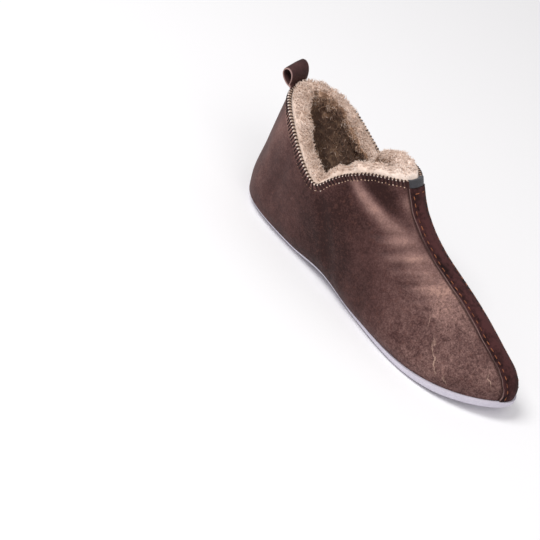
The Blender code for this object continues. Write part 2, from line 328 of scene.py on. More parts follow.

# Pale and dark patches added to the hide's tone: side, middle as length along the foot and height, reaches,
# and tone. The pale ones along the ridge over the instep and down the vamp are painted highlight, the tall
# pale bands at the heel painted sheen, and the two dark ones in the hollow behind the ridge painted shade;
# the others make the hide paler or darker in spots
Patch = namedtuple("Patch", "side x z reach_x reach_z tone")
PATCHES = (
    # Painted highlight along the ridge over the instep, then down the vamp beside the strip
    Patch(1, -37, 87.5, 6, 4, 0.40),
    Patch(1, -28, 83.5, 7, 4, 0.58),
    Patch(1, -18, 79.5, 8, 4, 0.54),
    Patch(1, -7, 76, 9, 4.5, 0.36),
    Patch(1, 8, 71.5, 12, 6, 0.46),
    Patch(1, 28, 65, 14, 6, 0.46),
    Patch(1, 53, 58.5, 13, 6.5, 0.50),
    Patch(1, 66, 49, 13, 8, 0.20),
    Patch(1, 1, 93, 8, 9, 0.68),
    # Painted shade in the hollow behind that ridge
    Patch(1, -19, 90.5, 6, 4.5, -0.14),
    Patch(1, -6, 85, 7, 4, -0.14),
    Patch(1, 14, 56, 12, 6, 0.05),
    Patch(1, 46, 36, 9, 6, -0.03),
    Patch(1, 24, 34, 12, 9, -0.06),
    Patch(1, 117, 25, 9, 8, -0.07),
    Patch(1, 58, 20, 4, 10, -0.14),
    # Painted sheen in tall bands on the heel
    Patch(1, -92, 48, 6, 36, 0.06),
    Patch(1, -118, 64, 6, 34, 0.12),
    Patch(1, -111, 80, 9, 14, 0.20),
    Patch(1, -48, 52, 15, 22, -0.07),
    # Inner side: the first three are painted highlight on the vamp and the ridge, as on the outer side
    Patch(-1, 10, 68, 18, 7, 0.40),
    Patch(-1, 48, 56, 20, 8, 0.40),
    Patch(-1, -26, 82, 16, 5, 0.38),
    Patch(-1, 1, 92, 8, 9, 0.34),
    Patch(-1, 46, 36, 12, 8, -0.08),
)

# Thin pale cracks in the finish: side and both ends as length along the foot and height
Scratch = namedtuple("Scratch", "side x0 z0 x1 z1")
SCRATCHES = (
    Scratch(1, 72.0, 36.5, 92.0, 15.5),
    Scratch(1, 114.5, 32.0, 123.0, 22.5),
    Scratch(1, 94.5, 19.0, 100.0, 13.0),
    Scratch(1, 62.0, 45.0, 65.5, 38.5),
    Scratch(-1, 78.0, 30.0, 92.0, 16.0),
    Scratch(-1, 58.0, 40.0, 66.0, 30.0),
)
CRACK_REACH = 4.0


def spline(knots, rows, at):
    """Natural cubic spline through one row of values for each knot, read at an array of places."""
    count = len(knots)
    step = np.diff(knots)
    system = np.eye(count)
    right = np.zeros_like(rows)
    for i in range(1, count - 1):
        system[i, i - 1 : i + 2] = step[i - 1], 2 * (step[i - 1] + step[i]), step[i]
        right[i] = 6 * ((rows[i + 1] - rows[i]) / step[i] - (rows[i] - rows[i - 1]) / step[i - 1])
    bend = np.linalg.solve(system, right)
    i = np.clip(np.searchsorted(knots, at, side="right") - 1, 0, count - 2)
    width = step[i][..., None]
    left = (knots[i + 1] - at)[..., None] / width
    share = 1 - left
    curve = (left**3 - left) * bend[i] + (share**3 - share) * bend[i + 1]
    return left * rows[i] + share * rows[i + 1] + curve * width**2 / 6


def ground(x):
    """Height of the sole's underside: flat at heel and forefoot, raised at the arch and the toe."""
    spring = np.clip((x - SPRING_START) / (TOE_X - SPRING_START), 0, None)
    arch = np.clip((x - ARCH_BACK) / (ARCH_FRONT - ARCH_BACK), 0, 1)
    return TOE_SPRING * spring**2 + ARCH_RISE * np.sin(np.pi * arch) ** 2


def centre(x):
    """Sideways place of the front seam, which swings to the inner side towards the toe."""
    return TOE_SWING * np.clip((x - SWING_START) / (TOE_X - SWING_START), 0, None) ** 2


def closed_curve(values, angle):
    """Smooth closed curve through eight values at 45 degree steps: a Fourier series with four waves."""
    waves = np.fft.rfft(values, axis=-1) / 8
    total = waves[..., 0].real + (waves[..., 4] * np.exp(4j * angle)).real
    for k in (1, 2, 3):
        total = total + 2 * (waves[..., k] * np.exp(1j * k * angle)).real
    return total


def last(angle, level):
    """Point of the last at an angle round the foot (0 front seam, 90 outer side, 180 back) and a level.

    Each loop is an oval: its length follows the cosine of the angle between its ends, and its side the sine
    times a half width that changes on the way round.
    """
    angle, level = np.broadcast_arrays(np.asarray(angle, float), np.asarray(level, float))
    table = np.array(SECTIONS, float)
    values = np.moveaxis(spline(table[:, 0], table[:, 1:], level), -1, 0)
    front_x, front_rise, back_x, back_rise, nose, fore, side, rear, back, inner_fore = values
    widths = (nose, fore, side, rear, back, rear * INNER_REAR, side * INNER_SIDE, inner_fore)
    half_width = closed_curve(np.stack(widths, -1), angle)
    front_share = (1 + np.cos(angle)) / 2
    x = back_x + (front_x - back_x) * front_share
    y = centre(x) - np.sin(angle) * half_width
    rise = back_rise + (front_rise - back_rise) * front_share
    return np.stack((x, y, SOLE_THICK + GAP + ground(x) + rise), -1)


def unit(vectors):
    """Vectors scaled to length one."""
    return vectors / np.maximum(np.linalg.norm(vectors, axis=-1, keepdims=True), 1e-9)


def upward(angle, level):
    """Direction up the last along a line of equal angle."""
    return unit(last(angle, level + NORMAL_STEP) - last(angle, level - NORMAL_STEP))


def outward(angle, level):
    """Direction straight out of the last."""
    along = last(angle + NORMAL_STEP, level) - last(angle - NORMAL_STEP, level)
    return unit(np.cross(upward(angle, level), along))


def skin(angle, level, height):
    """Points at a height over the last, negative heights inside it."""
    return last(angle, level) + outward(angle, level) * np.asarray(height, float)[..., None]


def climb_per_mm(angle, level):
    """How far the level changes over one millimetre up the last."""
    stretch = last(angle, level) - last(angle, level - NORMAL_STEP)
    return NORMAL_STEP / np.linalg.norm(stretch, axis=-1)


def angle_from_front(angle):
    """Angle to the front seam, either way round."""
    return np.arccos(np.cos(angle))


def collar_level(angle):
    """Level of the collar's edge: an even top with a rounded notch cut into it on both sides."""
    turn = np.degrees(angle_from_front(angle)) - NOTCH_ANGLE
    reach = np.sqrt(turn**2 + NOTCH_ROUND**2) - NOTCH_ROUND
    spread = np.where(turn < 0, NOTCH_FRONT_SPREAD, NOTCH_REAR_SPREAD)
    return 1 - NOTCH_DEPTH * np.exp(-reach / spread)


def path_lengths(points, weights=1.0):
    """Length of the way along a row of points up to each of them, its steps stretched by weights."""
    steps = np.linalg.norm(np.diff(points, axis=0), axis=1) * weights
    return np.concatenate(([0], np.cumsum(steps)))


def bell(values, width):
    """Bell curve: 1 where the values are 0, falling away over a width."""
    return np.exp(-((values / width) ** 2))


def seam_turns(level, distances):
    """Angles at which the way round the last from the front seam, at one level, has these lengths."""
    turns = np.radians(np.linspace(-SEAM_LIMIT, SEAM_LIMIT, SEAM_STEPS))
    lengths = path_lengths(last(turns, level))
    lengths = lengths - np.interp(0, turns, lengths)
    return np.interp(distances, lengths, turns)


def even_angles(count, level, back_share):
    """Angles whose columns stand evenly round the foot at one level, closer together at the back seam."""
    turns = np.linspace(0, 2 * np.pi, TURN_STEPS)
    middle = (turns[1:] + turns[:-1]) / 2
    lengths = path_lengths(last(turns, level), 1 + back_share * bell(middle - np.pi, 0.12))
    return np.interp((np.arange(count) + 0.5) / count * lengths[-1], lengths, turns)


def smooth_step(values):
    """Rises smoothly from 0 to 1 as the values do."""
    share = np.clip(values, 0, 1)
    return share * share * (3 - 2 * share)


def lattice_random(cells, seed):
    """Random numbers from 0 to 1 for whole-number cells: the fraction of a large sine."""
    value = np.sin(cells @ np.array((127.1, 311.7, 74.7)) + seed * 13.7) * 43758.5453
    return value - np.floor(value)


def soft_noise(points, size, seed):
    """Smooth noise from -1 to 1: random values at the corners of cubes of one size, blended in between."""
    place = points / size
    cell = np.floor(place)
    share = smooth_step(place - cell)
    total = np.zeros(points.shape[:-1])
    for corner in np.ndindex(2, 2, 2):
        weight = np.prod(np.where(corner, share, 1 - share), -1)
        total = total + weight * lattice_random(cell + corner, seed)
    return total * 2 - 1


def tufts(points, size, seed):
    """Distance to the nearest of many scattered points, one to a cube, as a share of the cube's size."""
    place = points / size
    cell = np.floor(place)
    nearest = np.full(points.shape[:-1], 9.0)
    for corner in np.ndindex(3, 3, 3):
        here = cell + corner - 1
        spot = np.stack([lattice_random(here, seed + k) for k in range(3)], -1)
        nearest = np.minimum(nearest, np.linalg.norm(here + spot - place, axis=-1))
    return nearest


def line_distance(x, z, row, bow):
    """Distance to a slightly bowed line between two places on the shoe's side, and the share along it."""
    run = np.array((row.x1 - row.x0, row.z1 - row.z0), float)
    length = np.hypot(*run)
    run = run / length
    along = ((x - row.x0) * run[0] + (z - row.z0) * run[1]) / length
    off = (x - row.x0) * -run[1] + (z - row.z0) * run[0]
    off = off - bow * np.sin(np.pi * np.clip(along, 0, 1))
    past = np.maximum(np.maximum(-along, along - 1), 0) * length
    return np.hypot(off, past), np.clip(along, 0, 1)


def side_share(angle, side):
    """1 on the outer side (1) or the inner side (-1) of the shoe, 0 on the other, blended over the seams."""
    return smooth_step(0.5 + side * np.sin(angle) * 2.5)


def relief(angle, level, depth_share):
    """Height of the hide over the last: soft folds, slow waves and the sunk back seam.

    A fold is a trough with raised shoulders: (1 - 0.8 s) exp(-s), where s is the squared distance over its
    width. Folds fade out under the strip, at the feather line and towards their own ends.
    """
    angle, level = np.broadcast_arrays(np.asarray(angle, float), np.asarray(level, float))
    place = last(angle, level)
    x, z = place[..., 0], place[..., 2]
    height = sum(wave.height * soft_noise(place, wave.size, wave.seed) for wave in WAVES)
    for fold in FOLDS:
        distance, along = line_distance(x, z, fold, fold.bow)
        square = (distance / fold.width) ** 2
        fade = np.sin(np.pi * (0.12 + 0.76 * along)) * side_share(angle, fold.side)
        height = height - fold.depth * (1 - 0.8 * square) * np.exp(-square) * fade
    seam = np.linalg.norm(place - last(0.0, level), axis=-1)
    height = height * smooth_step((seam - STRIP_CLEAR) / STRIP_FADE)
    height = height * smooth_step(level / FOOT_FADE) * depth_share
    height = np.where(height < 0, -DEEPEST_FOLD * np.tanh(-height / DEEPEST_FOLD), height)
    back = np.linalg.norm(place - last(np.pi, level), axis=-1)
    height = height - BACK_SEAM_DEPTH * bell(back, BACK_SEAM_WIDTH)
    return height + BACK_RIDGE_HEIGHT * bell(back - BACK_RIDGE_PLACE, BACK_RIDGE_WIDTH)


def hide_tone(angle, place):
    """How pale the hide is, from 0 dark to 1 pale: its own tone, with painted highlight and shade from some
    patches.

    An even tone changes slowly along the foot, and the listed soft patches are added to it.
    """
    x, z = place[..., 0], place[..., 2]
    steps = np.array(TONES)
    tone = np.interp(x, steps[:, 0], steps[:, 1])
    for patch in PATCHES:
        square = ((x - patch.x) / patch.reach_x) ** 2 + ((z - patch.z) / patch.reach_z) ** 2
        tone = tone + patch.tone * np.exp(-square) * side_share(angle, patch.side)
    return tone


def collar_pucker(angle, level):
    """Mask of the paler hide that puckers between the thread bars, stronger behind the notch."""
    top = collar_level(angle)
    down = (top - level) / climb_per_mm(angle, top)
    behind = smooth_step((angle_from_front(angle) - np.radians(92)) / 0.3)
    return np.exp(-((down / PUCKER_REACH) ** 4)) * (0.25 + 0.75 * behind)


def strip_half_width(level):
    """Half width of the centre strip at a level."""
    widths = np.array(STRIP_WIDTHS)
    return np.interp(level, widths[:, 0], widths[:, 1])


def strip_groove(angle, level):
    """Mask of a painted shadow: the dark line on the hide just beside the strip's edge."""
    seam = np.linalg.norm(last(angle, level) - last(0.0, level), axis=-1)
    front = (np.abs(np.sin(angle)) < 0.8) * (np.cos(angle) > 0)
    return bell(seam - strip_half_width(level) - 0.5, 1.0) * front


def hide_cracks(angle, place):
    """Distance from the nearest thin pale crack, signed by its side, and the cracks' fading mask."""
    x, z = place[..., 0], place[..., 2]
    nearest = np.full(x.shape, CRACK_REACH)
    fade = np.zeros(x.shape)
    for crack in SCRATCHES:
        distance, along = line_distance(x, z, crack, 0.0)
        off = (z - crack.z0) * (crack.x1 - crack.x0) - (x - crack.x0) * (crack.z1 - crack.z0)
        off = np.clip(np.sign(off) * distance, -CRACK_REACH, CRACK_REACH)
        here = (distance < CRACK_REACH) & (side_share(angle, crack.side) > 0.5)
        nearest = np.where(here, off, nearest)
        fade = np.where(here, np.sin(np.pi * (0.05 + 0.9 * along)), fade)
    return nearest, fade


def grid_faces(rows, columns, close_rows, close_columns):
    """Four-sided faces between the points of a grid, joined end to end where it closes."""
    i = np.arange(rows if close_rows else rows - 1)[:, None]
    j = np.arange(columns if close_columns else columns - 1)[None]
    here, beside = i * columns, (i + 1) % rows * columns
    following = (j + 1) % columns
    return np.stack((here + j, here + following, beside + following, beside + j), -1).reshape(-1, 4)


def ladder_caps(rows, size):
    """Faces across the first and last loop of a stack: each point pairs with its mirror in the loop."""
    j = np.arange(size // 2 - 1)
    pair = size - 1 - j
    first = np.stack((j + 1, j, pair, pair - 1), -1)
    return np.concatenate((first, first[:, ::-1] + (rows - 1) * size))


def refine(points, factor, closed):
    """Grid with more rows along its first axis: a Catmull-Rom curve through each line of points."""
    if closed:
        before, after, beyond = (np.roll(points, -k, 0) for k in (-1, 1, 2))
        start = points
    else:
        padded = np.concatenate((points[:1], points, points[-1:]))
        before, start, after, beyond = (padded[k : len(padded) - 3 + k] for k in range(4))
    rows = []
    for share in np.arange(factor) / factor:
        rows.append((
            2 * start + share * (after - before)
            + share**2 * (2 * before - 5 * start + 4 * after - beyond)
            + share**3 * (3 * start - before - 3 * after + beyond)
        ) / 2)
    made = np.stack(rows, 1).reshape(-1, *points.shape[1:])
    return made if closed else np.concatenate((made, points[-1:]))


def grid_normals(points):
    """Directions square to a grid that closes along its first axis."""
    along = np.roll(points, -1, 0) - np.roll(points, 1, 0)
    up = np.gradient(points, axis=1)
    return unit(np.cross(along, up))


def tubes(paths, tops, radii, sides, flat):
    """Closed tubes along many paths at once, with their faces.

    A ring stands square to its path at each step: side cos(t) + flat top sin(t), times the step's radius.
    """
    count, steps = paths.shape[:2]
    along = unit(np.gradient(paths, axis=1))
    side = unit(np.cross(along, tops))
    top = np.cross(side, along) * flat
    turn = np.arange(sides) * 2 * np.pi / sides
    ring = np.cos(turn)[:, None] * side[:, :, None] + np.sin(turn)[:, None] * top[:, :, None]
    points = paths[:, :, None] + ring * np.broadcast_to(radii, (count, steps))[..., None, None]
    starts = np.arange(count)[:, None, None] * steps * sides
    walls = (grid_faces(steps, sides, False, True)[None] + starts).reshape(-1, 4)
    cap = np.arange(sides)[None]
    ends = starts[:, 0]
    return points.reshape(-1, 3), [walls, ends + cap[:, ::-1], ends + (steps - 1) * sides + cap]


def signed_volume(points, face_sets):
    """Volume inside the faces, negative where they point inwards."""
    total = 0.0
    for faces in face_sets:
        corner = points[faces]
        for k in range(1, faces.shape[1] - 1):
            cross = np.cross(corner[:, k], corner[:, k + 1])
            total += np.sum(corner[:, 0] * cross)
    return total / 6


def make_piece(name, points, face_sets, finish, nodes=(), marks=None):
    """Puts points in millimetres of the last and their faces into a mesh that rides on the shoe."""
    points = points.reshape(-1, 3)
    if signed_volume(points, face_sets) < 0:
        face_sets = [faces[:, ::-1] for faces in face_sets]
    mesh = bpy.data.meshes.new(name)
    mesh.from_pydata(((points + PLACE) * MM).tolist(), [], [f for faces in face_sets for f in faces.tolist()])
    mesh.shade_smooth()
    mesh.set_sharp_from_angle(angle=np.radians(SHARP_ANGLE))
    for label, values in (marks or {}).items():
        attribute = mesh.attributes.new(label, "FLOAT", "POINT")
        attribute.data.foreach_set("value", np.ravel(values).astype(np.float32))
    mesh.materials.append(finish)
    piece = bpy.data.objects.new(name, mesh)
    bpy.context.scene.collection.objects.link(piece)
    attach(piece, BODY)
    if nodes:
        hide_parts(*nodes)


def sole_rings(count):
    """Outlines of the outsole from the tread to the top, its lower edge a quarter round."""
    angle = even_angles(count, level=0.0, back_share=0.0)
    feather = last(angle, 0.0)
    side = unit(outward(angle, 0.0) * (1, 1, 0))
    flange, edge, reach = (
        np.interp(feather[:, 0], (EDGE_BACK, EDGE_FRONT), ends)
        for ends in ((HEEL_FLANGE, TOE_FLANGE), (HEEL_EDGE, TOE_EDGE), (HEEL_REACH, TOE_REACH))
    )
    rings = []
    for quarter in np.linspace(0, np.pi / 2, SOLE_EDGE_STEPS):
        ring = feather + side * (flange - reach * (1 - np.sin(quarter)))[:, None]
        ring[:, 2] = ground(ring[:, 0]) + edge * (1 - np.cos(quarter))
        rings.append(ring)
    top = rings[-1].copy()
    top[:, 2] = ground(top[:, 0]) + SOLE_THICK
    rings.append(top)
    return np.array(rings)


def shoe_place():
    """Where the last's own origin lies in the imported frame, from the outsole in both."""
    low, high = (np.array(corner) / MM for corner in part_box("outsole"))
    rings = sole_rings(SOLE_MEASURE_COLUMNS).reshape(-1, 3)
    place = (low + high - rings.min(0) - rings.max(0)) / 2
    return place * (1, 1, 0)


PLACE = shoe_place()


def put(tree, kind, sockets=None, **settings):
    """Adds a shader node: settings are its own fields, and its sockets take a link or a value."""
    made = tree.nodes.new(kind)
    for field, value in settings.items():
        setattr(made, field, value)
    for key, value in (sockets or {}).items():
        if isinstance(value, bpy.types.NodeSocket):
            tree.links.new(value, made.inputs[key])
        else:
            made.inputs[key].default_value = value
    return made


def math(tree, operation, *values):
    """Output of a Math node."""
    return put(tree, "ShaderNodeMath", dict(enumerate(values)), operation=operation).outputs[0]


def added(tree, first, second):
    """Sum of two values."""
    return math(tree, "ADD", first, second)


def times(tree, first, second):
    """Product of two values."""
    return math(tree, "MULTIPLY", first, second)


def noise(tree, vector, scale, detail, roughness=0.5):
    """Outputs of a noise texture."""
    sockets = {"Vector": vector, "Scale": scale, "Detail": detail, "Roughness": roughness}
    return put(tree, "ShaderNodeTexNoise", sockets).outputs


def colour(value):
    """Colour for a socket: a link as it is, or three values with full opacity."""
    return value if isinstance(value, bpy.types.NodeSocket) else (*value, 1.0)


def between(tree, share, first, second, blend="MIX"):
    """Colour between two colours."""
    sockets = {0: share, 6: colour(first), 7: colour(second)}
    return put(tree, "ShaderNodeMix", sockets, data_type="RGBA", blend_type=blend).outputs[2]


def fit_range(tree, value, old, new=(0.0, 1.0)):
    """Value moved smoothly from an old range to a new one and held inside it."""
    sockets = {"Value": value, 1: old[0], 2: old[1], 3: new[0], 4: new[1]}
    return put(tree, "ShaderNodeMapRange", sockets, interpolation_type="SMOOTHSTEP").outputs["Result"]


def mark(tree, label):
    """Value of a piece's own attribute."""
    return put(tree, "ShaderNodeAttribute", attribute_name=label).outputs["Fac"]


def shader_group(name, inputs, outputs):
    """New shader node group that reads a place; gives the tree and its own input and output sockets.

    Inputs are names with their first values and outputs are names, all of them plain numbers.
    """
    tree = bpy.data.node_groups.new(name, "ShaderNodeTree")
    tree.interface.new_socket("Vector", in_out="INPUT", socket_type="NodeSocketVector")
    for label, default in inputs.items():
        socket = tree.interface.new_socket(label, in_out="INPUT", socket_type="NodeSocketFloat")
        socket.default_value = default
    for label in outputs:
        tree.interface.new_socket(label, in_out="OUTPUT", socket_type="NodeSocketFloat")
    return tree, put(tree, "NodeGroupInput").outputs, put(tree, "NodeGroupOutput").inputs


def hide_grain(name):
    """Grain of a hide: small rounded pores over finer wrinkles, and pale flecks on their tops."""
    tree, given, made = shader_group(name, {"Pores": 900.0}, ("Height", "Fleck"))
    bent = noise(tree, given["Vector"], 260.0, 3.0)["Color"]
    offset = put(tree, "ShaderNodeVectorMath", {0: bent, "Scale": 0.0016}, operation="SCALE").outputs[0]
    moved = put(tree, "ShaderNodeVectorMath", {0: given["Vector"], 1: offset}).outputs[0]
    pores = put(tree, "ShaderNodeTexVoronoi", {"Vector": moved, "Scale": given["Pores"]}).outputs["Distance"]
    fine = noise(tree, moved, given["Pores"], 5.0, 0.7)["Fac"]
    domes = times(tree, fit_range(tree, pores, (0.1, 0.8), (1.0, 0.0)), 0.55)
    tree.links.new(added(tree, domes, fine), made["Height"])
    tree.links.new(fit_range(tree, fine, (0.35, 0.68)), made["Fleck"])
    return tree


def uneven_colour(name):
    """Uneven colour: slow clouds and small clouds around an even value of one half."""
    tree, given, made = shader_group(name, {"Clouds": 40.0, "Spots": 200.0}, ("Value",))
    slow = noise(tree, given["Vector"], given["Clouds"], 4.0)["Fac"]
    small = noise(tree, given["Vector"], given["Spots"], 5.0, 0.65)["Fac"]
    tree.links.new(times(tree, added(tree, slow, small), 0.5), made["Value"])
    return tree


def short_nap(name):
    """Short nap of suede, wool or cloth: a fine fuzz with a coarser brushed lie."""
    tree, given, made = shader_group(name, {"Fibres": 1500.0}, ("Height", "Lie"))
    fuzz = noise(tree, given["Vector"], given["Fibres"], 4.0, 0.75)["Fac"]
    lie = noise(tree, given["Vector"], times(tree, given["Fibres"], 0.18), 3.0)["Fac"]
    tree.links.new(added(tree, fuzz, lie), made["Height"])
    tree.links.new(fit_range(tree, lie, (0.3, 0.7)), made["Lie"])
    return tree


def place_group(tree, maker, coordinates, **values):
    """Places a shared node group, which is named like its maker and made at its first use."""
    name = maker.__name__
    group = bpy.data.node_groups.get(name) or maker(name)
    return put(tree, "ShaderNodeGroup", {"Vector": coordinates, **values}, node_tree=group).outputs


def new_material(name, roughness, specular, sheen=0.0):
    """Material with a Principled shader, its even values set on the shader itself."""
    made = bpy.data.materials.new(name)
    made.use_nodes = True
    tree = made.node_tree
    shader = tree.nodes["Principled BSDF"]
    shader.inputs["Roughness"].default_value = roughness
    shader.inputs["Specular IOR Level"].default_value = specular
    shader.inputs["Sheen Weight"].default_value = sheen
    shader.inputs["Sheen Roughness"].default_value = SHEEN_ROUGHNESS
    coordinates = put(tree, "ShaderNodeTexCoord").outputs["Object"]
    return made, tree, shader, coordinates


def surface(tree, shader, base, height, depth, strength):
    """Links a shader's colour and its fine relief, whose depth is in metres."""
    bump = put(tree, "ShaderNodeBump", {"Height": height, "Distance": depth, "Strength": strength})
    tree.links.new(bump.outputs["Normal"], shader.inputs["Normal"])
    tree.links.new(base, shader.inputs["Base Color"])


def ramp(tree, value, stops):
    """Colour looked up along stops of a place and a colour."""
    made = put(tree, "ShaderNodeValToRGB", {"Fac": value})
    elements = made.color_ramp.elements
    while len(elements) < len(stops):
        elements.new(0.5)
    for element, (place, tint) in zip(elements, stops):
        element.position = place
        element.color = colour(tint)
    return made.outputs["Color"]


def hide_material(name, colours):
    """Brown hide with a worn, waxed finish: the piece's tone, clouds and flecks choose along its colours."""
    made, tree, shader, coordinates = new_material(name, roughness=0.6, specular=0.10)
    grain = place_group(tree, hide_grain, coordinates, Pores=850.0)
    clouds = place_group(tree, uneven_colour, coordinates, Clouds=70.0, Spots=230.0)["Value"]
    worn = mark(tree, "crackle")
    uneven = fit_range(tree, clouds, (0.3, 0.7), (-0.19, 0.19))
    uneven = times(tree, uneven, fit_range(tree, worn, (0.1, 0.7), (0.5, 1.0)))
    flecks = fit_range(tree, grain["Fleck"], (0.0, 1.0), (-0.11, 0.11))
    flecks = times(tree, flecks, added(tree, worn, 0.6))
    # The tone carries painted highlight, sheen and shade besides the hide's own wear and colour
    tone = added(tree, added(tree, mark(tree, "tone"), uneven), flecks)
    stops = (
        (0.0, colours.hide_deep), (0.25, colours.hide_dark), (0.50, colours.hide_middle),
        (0.75, colours.hide_worn), (1.0, colours.hide_pale),
    )
    base = ramp(tree, tone, stops)
    red = fit_range(tree, noise(tree, coordinates, 340.0, 4.0, 0.7)["Fac"], (0.5, 0.72), (0.0, 0.45))
    base = between(tree, red, base, colours.hide_red)
    specks = fit_range(tree, noise(tree, coordinates, 520.0, 4.0, 0.72)["Fac"], (0.46, 0.66), (0.0, 0.85))
    specks = times(tree, specks, worn)
    base = between(tree, specks, base, colours.hide_deep)
    ragged = fit_range(tree, noise(tree, coordinates, 210.0, 4.0)["Fac"], (0.25, 0.75), (-1.1, 1.1))
    off = math(tree, "ABSOLUTE", added(tree, mark(tree, "crack"), ragged))
    crack = times(tree, fit_range(tree, off, (0.1, 0.42), (0.8, 0.0)), mark(tree, "crack_fade"))
    crack = times(tree, crack, fit_range(tree, clouds, (0.38, 0.55), (0.3, 1.0)))
    base = between(tree, crack, base, colours.hide_crack)
    base = between(tree, mark(tree, "edge"), base, colours.cut_edge)
    # Painted shadow: a dark line on the hide along the strip's edge, in the deepest hide colour
    base = between(tree, mark(tree, "strip_shadow"), base, colours.hide_deep)
    tree.links.new(fit_range(tree, tone, (0.1, 0.9), (0.52, 0.72)), shader.inputs["Roughness"])
    height = added(tree, grain["Height"], times(tree, specks, -0.8))
    surface(tree, shader, base, height, depth=0.00022, strength=0.5)
    return made


def suede_material(name, colours):
    """Dark suede with a brushed nap, paler along its cut edges, with a painted highlight on its crest and
    painted shade towards its sides.
    """
    made, tree, shader, coordinates = new_material(name, roughness=0.92, specular=0.06, sheen=0.03)
    nap = place_group(tree, short_nap, coordinates, Fibres=1400.0)
    clouds = place_group(tree, uneven_colour, coordinates, Clouds=70.0, Spots=420.0)["Value"]
    tone = fit_range(tree, clouds, (0.36, 0.64), (0.0, 0.9))
    tone = added(tree, tone, times(tree, nap["Lie"], 0.35))
    # Painted highlight along the strip's crest and painted shade towards its stitched sides
    tone = added(tree, tone, fit_range(tree, mark(tree, "crest_light"), (0.0, 1.0), (-0.22, 0.25)))
    base = between(tree, tone, colours.suede_dark, colours.suede_pale)
    base = between(tree, mark(tree, "edge"), base, colours.suede_edge)
    surface(tree, shader, base, nap["Height"], depth=0.0003, strength=0.6)
    return made


def wool_material(name, colours):
    """Sheepskin wool: pale tips and a brown-grey depth, uneven from lock to lock; the depth is partly painted
    shade inside the opening, and the darker roots are painted shade between the locks.
    """
    made, tree, shader, coordinates = new_material(name, roughness=0.95, specular=0.1, sheen=0.2)
    nap = place_group(tree, short_nap, coordinates, Fibres=900.0)
    clouds = place_group(tree, uneven_colour, coordinates, Clouds=90.0, Spots=300.0)["Value"]
    # Depth: partly the wool's own browner colour, partly painted shade inside the opening
    deep = mark(tree, "deep")
    loose = fit_range(tree, clouds, (0.36, 0.64), (0.5, -0.5))
    loose = times(tree, loose, fit_range(tree, deep, (0.1, 0.55), (0.12, 1.0)))
    stops = ((0.0, colours.wool_pale), (0.42, colours.wool_middle), (1.0, colours.wool_deep))
    inner = ramp(tree, added(tree, deep, loose), stops)
    # Painted shade: where the tip share is low the wool is dimmed towards the roots' colour
    shade = times(tree, mark(tree, "tip"), fit_range(tree, nap["Lie"], (0.0, 1.0), (0.9, 1.05)))
    dim = between(tree, 1.0, inner, colours.wool_root, "MULTIPLY")
    base = between(tree, shade, dim, inner)
    surface(tree, shader, base, nap["Height"], depth=0.0005, strength=0.5)
    return made


def thread_material(name, tint, dark, roughness):
    """Waxed sewing thread with a fine twist."""
    made, tree, shader, coordinates = new_material(name, roughness, specular=0.15)
    nap = place_group(tree, short_nap, coordinates, Fibres=2200.0)
    base = between(tree, nap["Lie"], dark, tint)
    surface(tree, shader, base, nap["Height"], depth=0.00012, strength=0.6)
    return made


def loop_material(name, colours):
    """Smooth dark leather strip with pale cut edges."""
    made, tree, shader, coordinates = new_material(name, roughness=0.6, specular=0.22)
    grain = place_group(tree, hide_grain, coordinates, Pores=1300.0)
    clouds = place_group(tree, uneven_colour, coordinates, Clouds=110.0, Spots=500.0)["Value"]
    tone = fit_range(tree, clouds, (0.3, 0.7), (0.0, 0.8))
    tone = added(tree, tone, times(tree, grain["Fleck"], 0.2))
    base = between(tree, tone, colours.loop_dark, colours.loop_pale)
    base = between(tree, mark(tree, "edge"), base, colours.suede_edge)
    surface(tree, shader, base, grain["Height"], depth=0.00012, strength=0.5)
    return made


def label_material(name, colours):
    """Woven charcoal tape: threads cross along the tab's own length and height."""
    made, tree, shader, coordinates = new_material(name, roughness=0.8, specular=0.25, sheen=0.2)
    nap = place_group(tree, short_nap, coordinates, Fibres=2000.0)
    warp, weft = (
        math(tree, "SINE", times(tree, mark(tree, label), THREAD_WAVES)) for label in ("along", "across")
    )
    weave = times(tree, warp, weft)
    tone = fit_range(tree, added(tree, weave, nap["Lie"]), (-1.0, 2.0))
    base = between(tree, tone, colours.label_dark, colours.label_pale)
    surface(tree, shader, base, added(tree, weave, nap["Height"]), depth=0.0001, strength=0.6)
    return made


def foam_material(name, colours):
    """Pale foam sole with a fine moulded skin, a little greyer in small spots."""
    made, tree, shader, coordinates = new_material(name, roughness=0.62, specular=0.35)
    grain = place_group(tree, hide_grain, coordinates, Pores=700.0)
    clouds = place_group(tree, uneven_colour, coordinates, Clouds=60.0, Spots=500.0)["Value"]
    base = between(tree, fit_range(tree, clouds, (0.35, 0.7)), colours.foam_pale, colours.foam_grey)
    surface(tree, shader, base, grain["Height"], depth=0.00008, strength=0.5)
    return made


def floor_material(name, colours):
    """Plain pale floor."""
    made, _, shader, _ = new_material(name, roughness=0.9, specular=0.1)
    shader.inputs["Base Color"].default_value = colour(colours.floor)
    return made


def once(name, maker, *values):
    """Material by name, made at its first use."""
    return bpy.data.materials.get(name) or maker(name, *values)


def length_prop(label, words, default):
    """Length in metres, shown in the scene's units."""
    return FloatProperty(
        name=label, description=words, default=default, min=0.0, subtype="DISTANCE", unit="LENGTH"
    )


def angle_prop(label, words, degrees):
    """Angle, given in degrees."""
    return FloatProperty(
        name=label, description=words, default=np.radians(degrees), subtype="ANGLE", unit="ROTATION"
    )


def power_prop(label, words, default):
    """Power of a lamp in watts."""
    return FloatProperty(name=label, description=words, default=default, min=0.0, unit="POWER")


def count_prop(label, words, default):
    """Whole number of small pieces."""
    return IntProperty(name=label, description=words, default=default, min=0)


def colour_prop(label, words, default):
    """Colour in linear light."""
    return FloatVectorProperty(
        name=label, description=words, default=default, size=3, min=0.0, max=1.0, subtype="COLOR"
    )


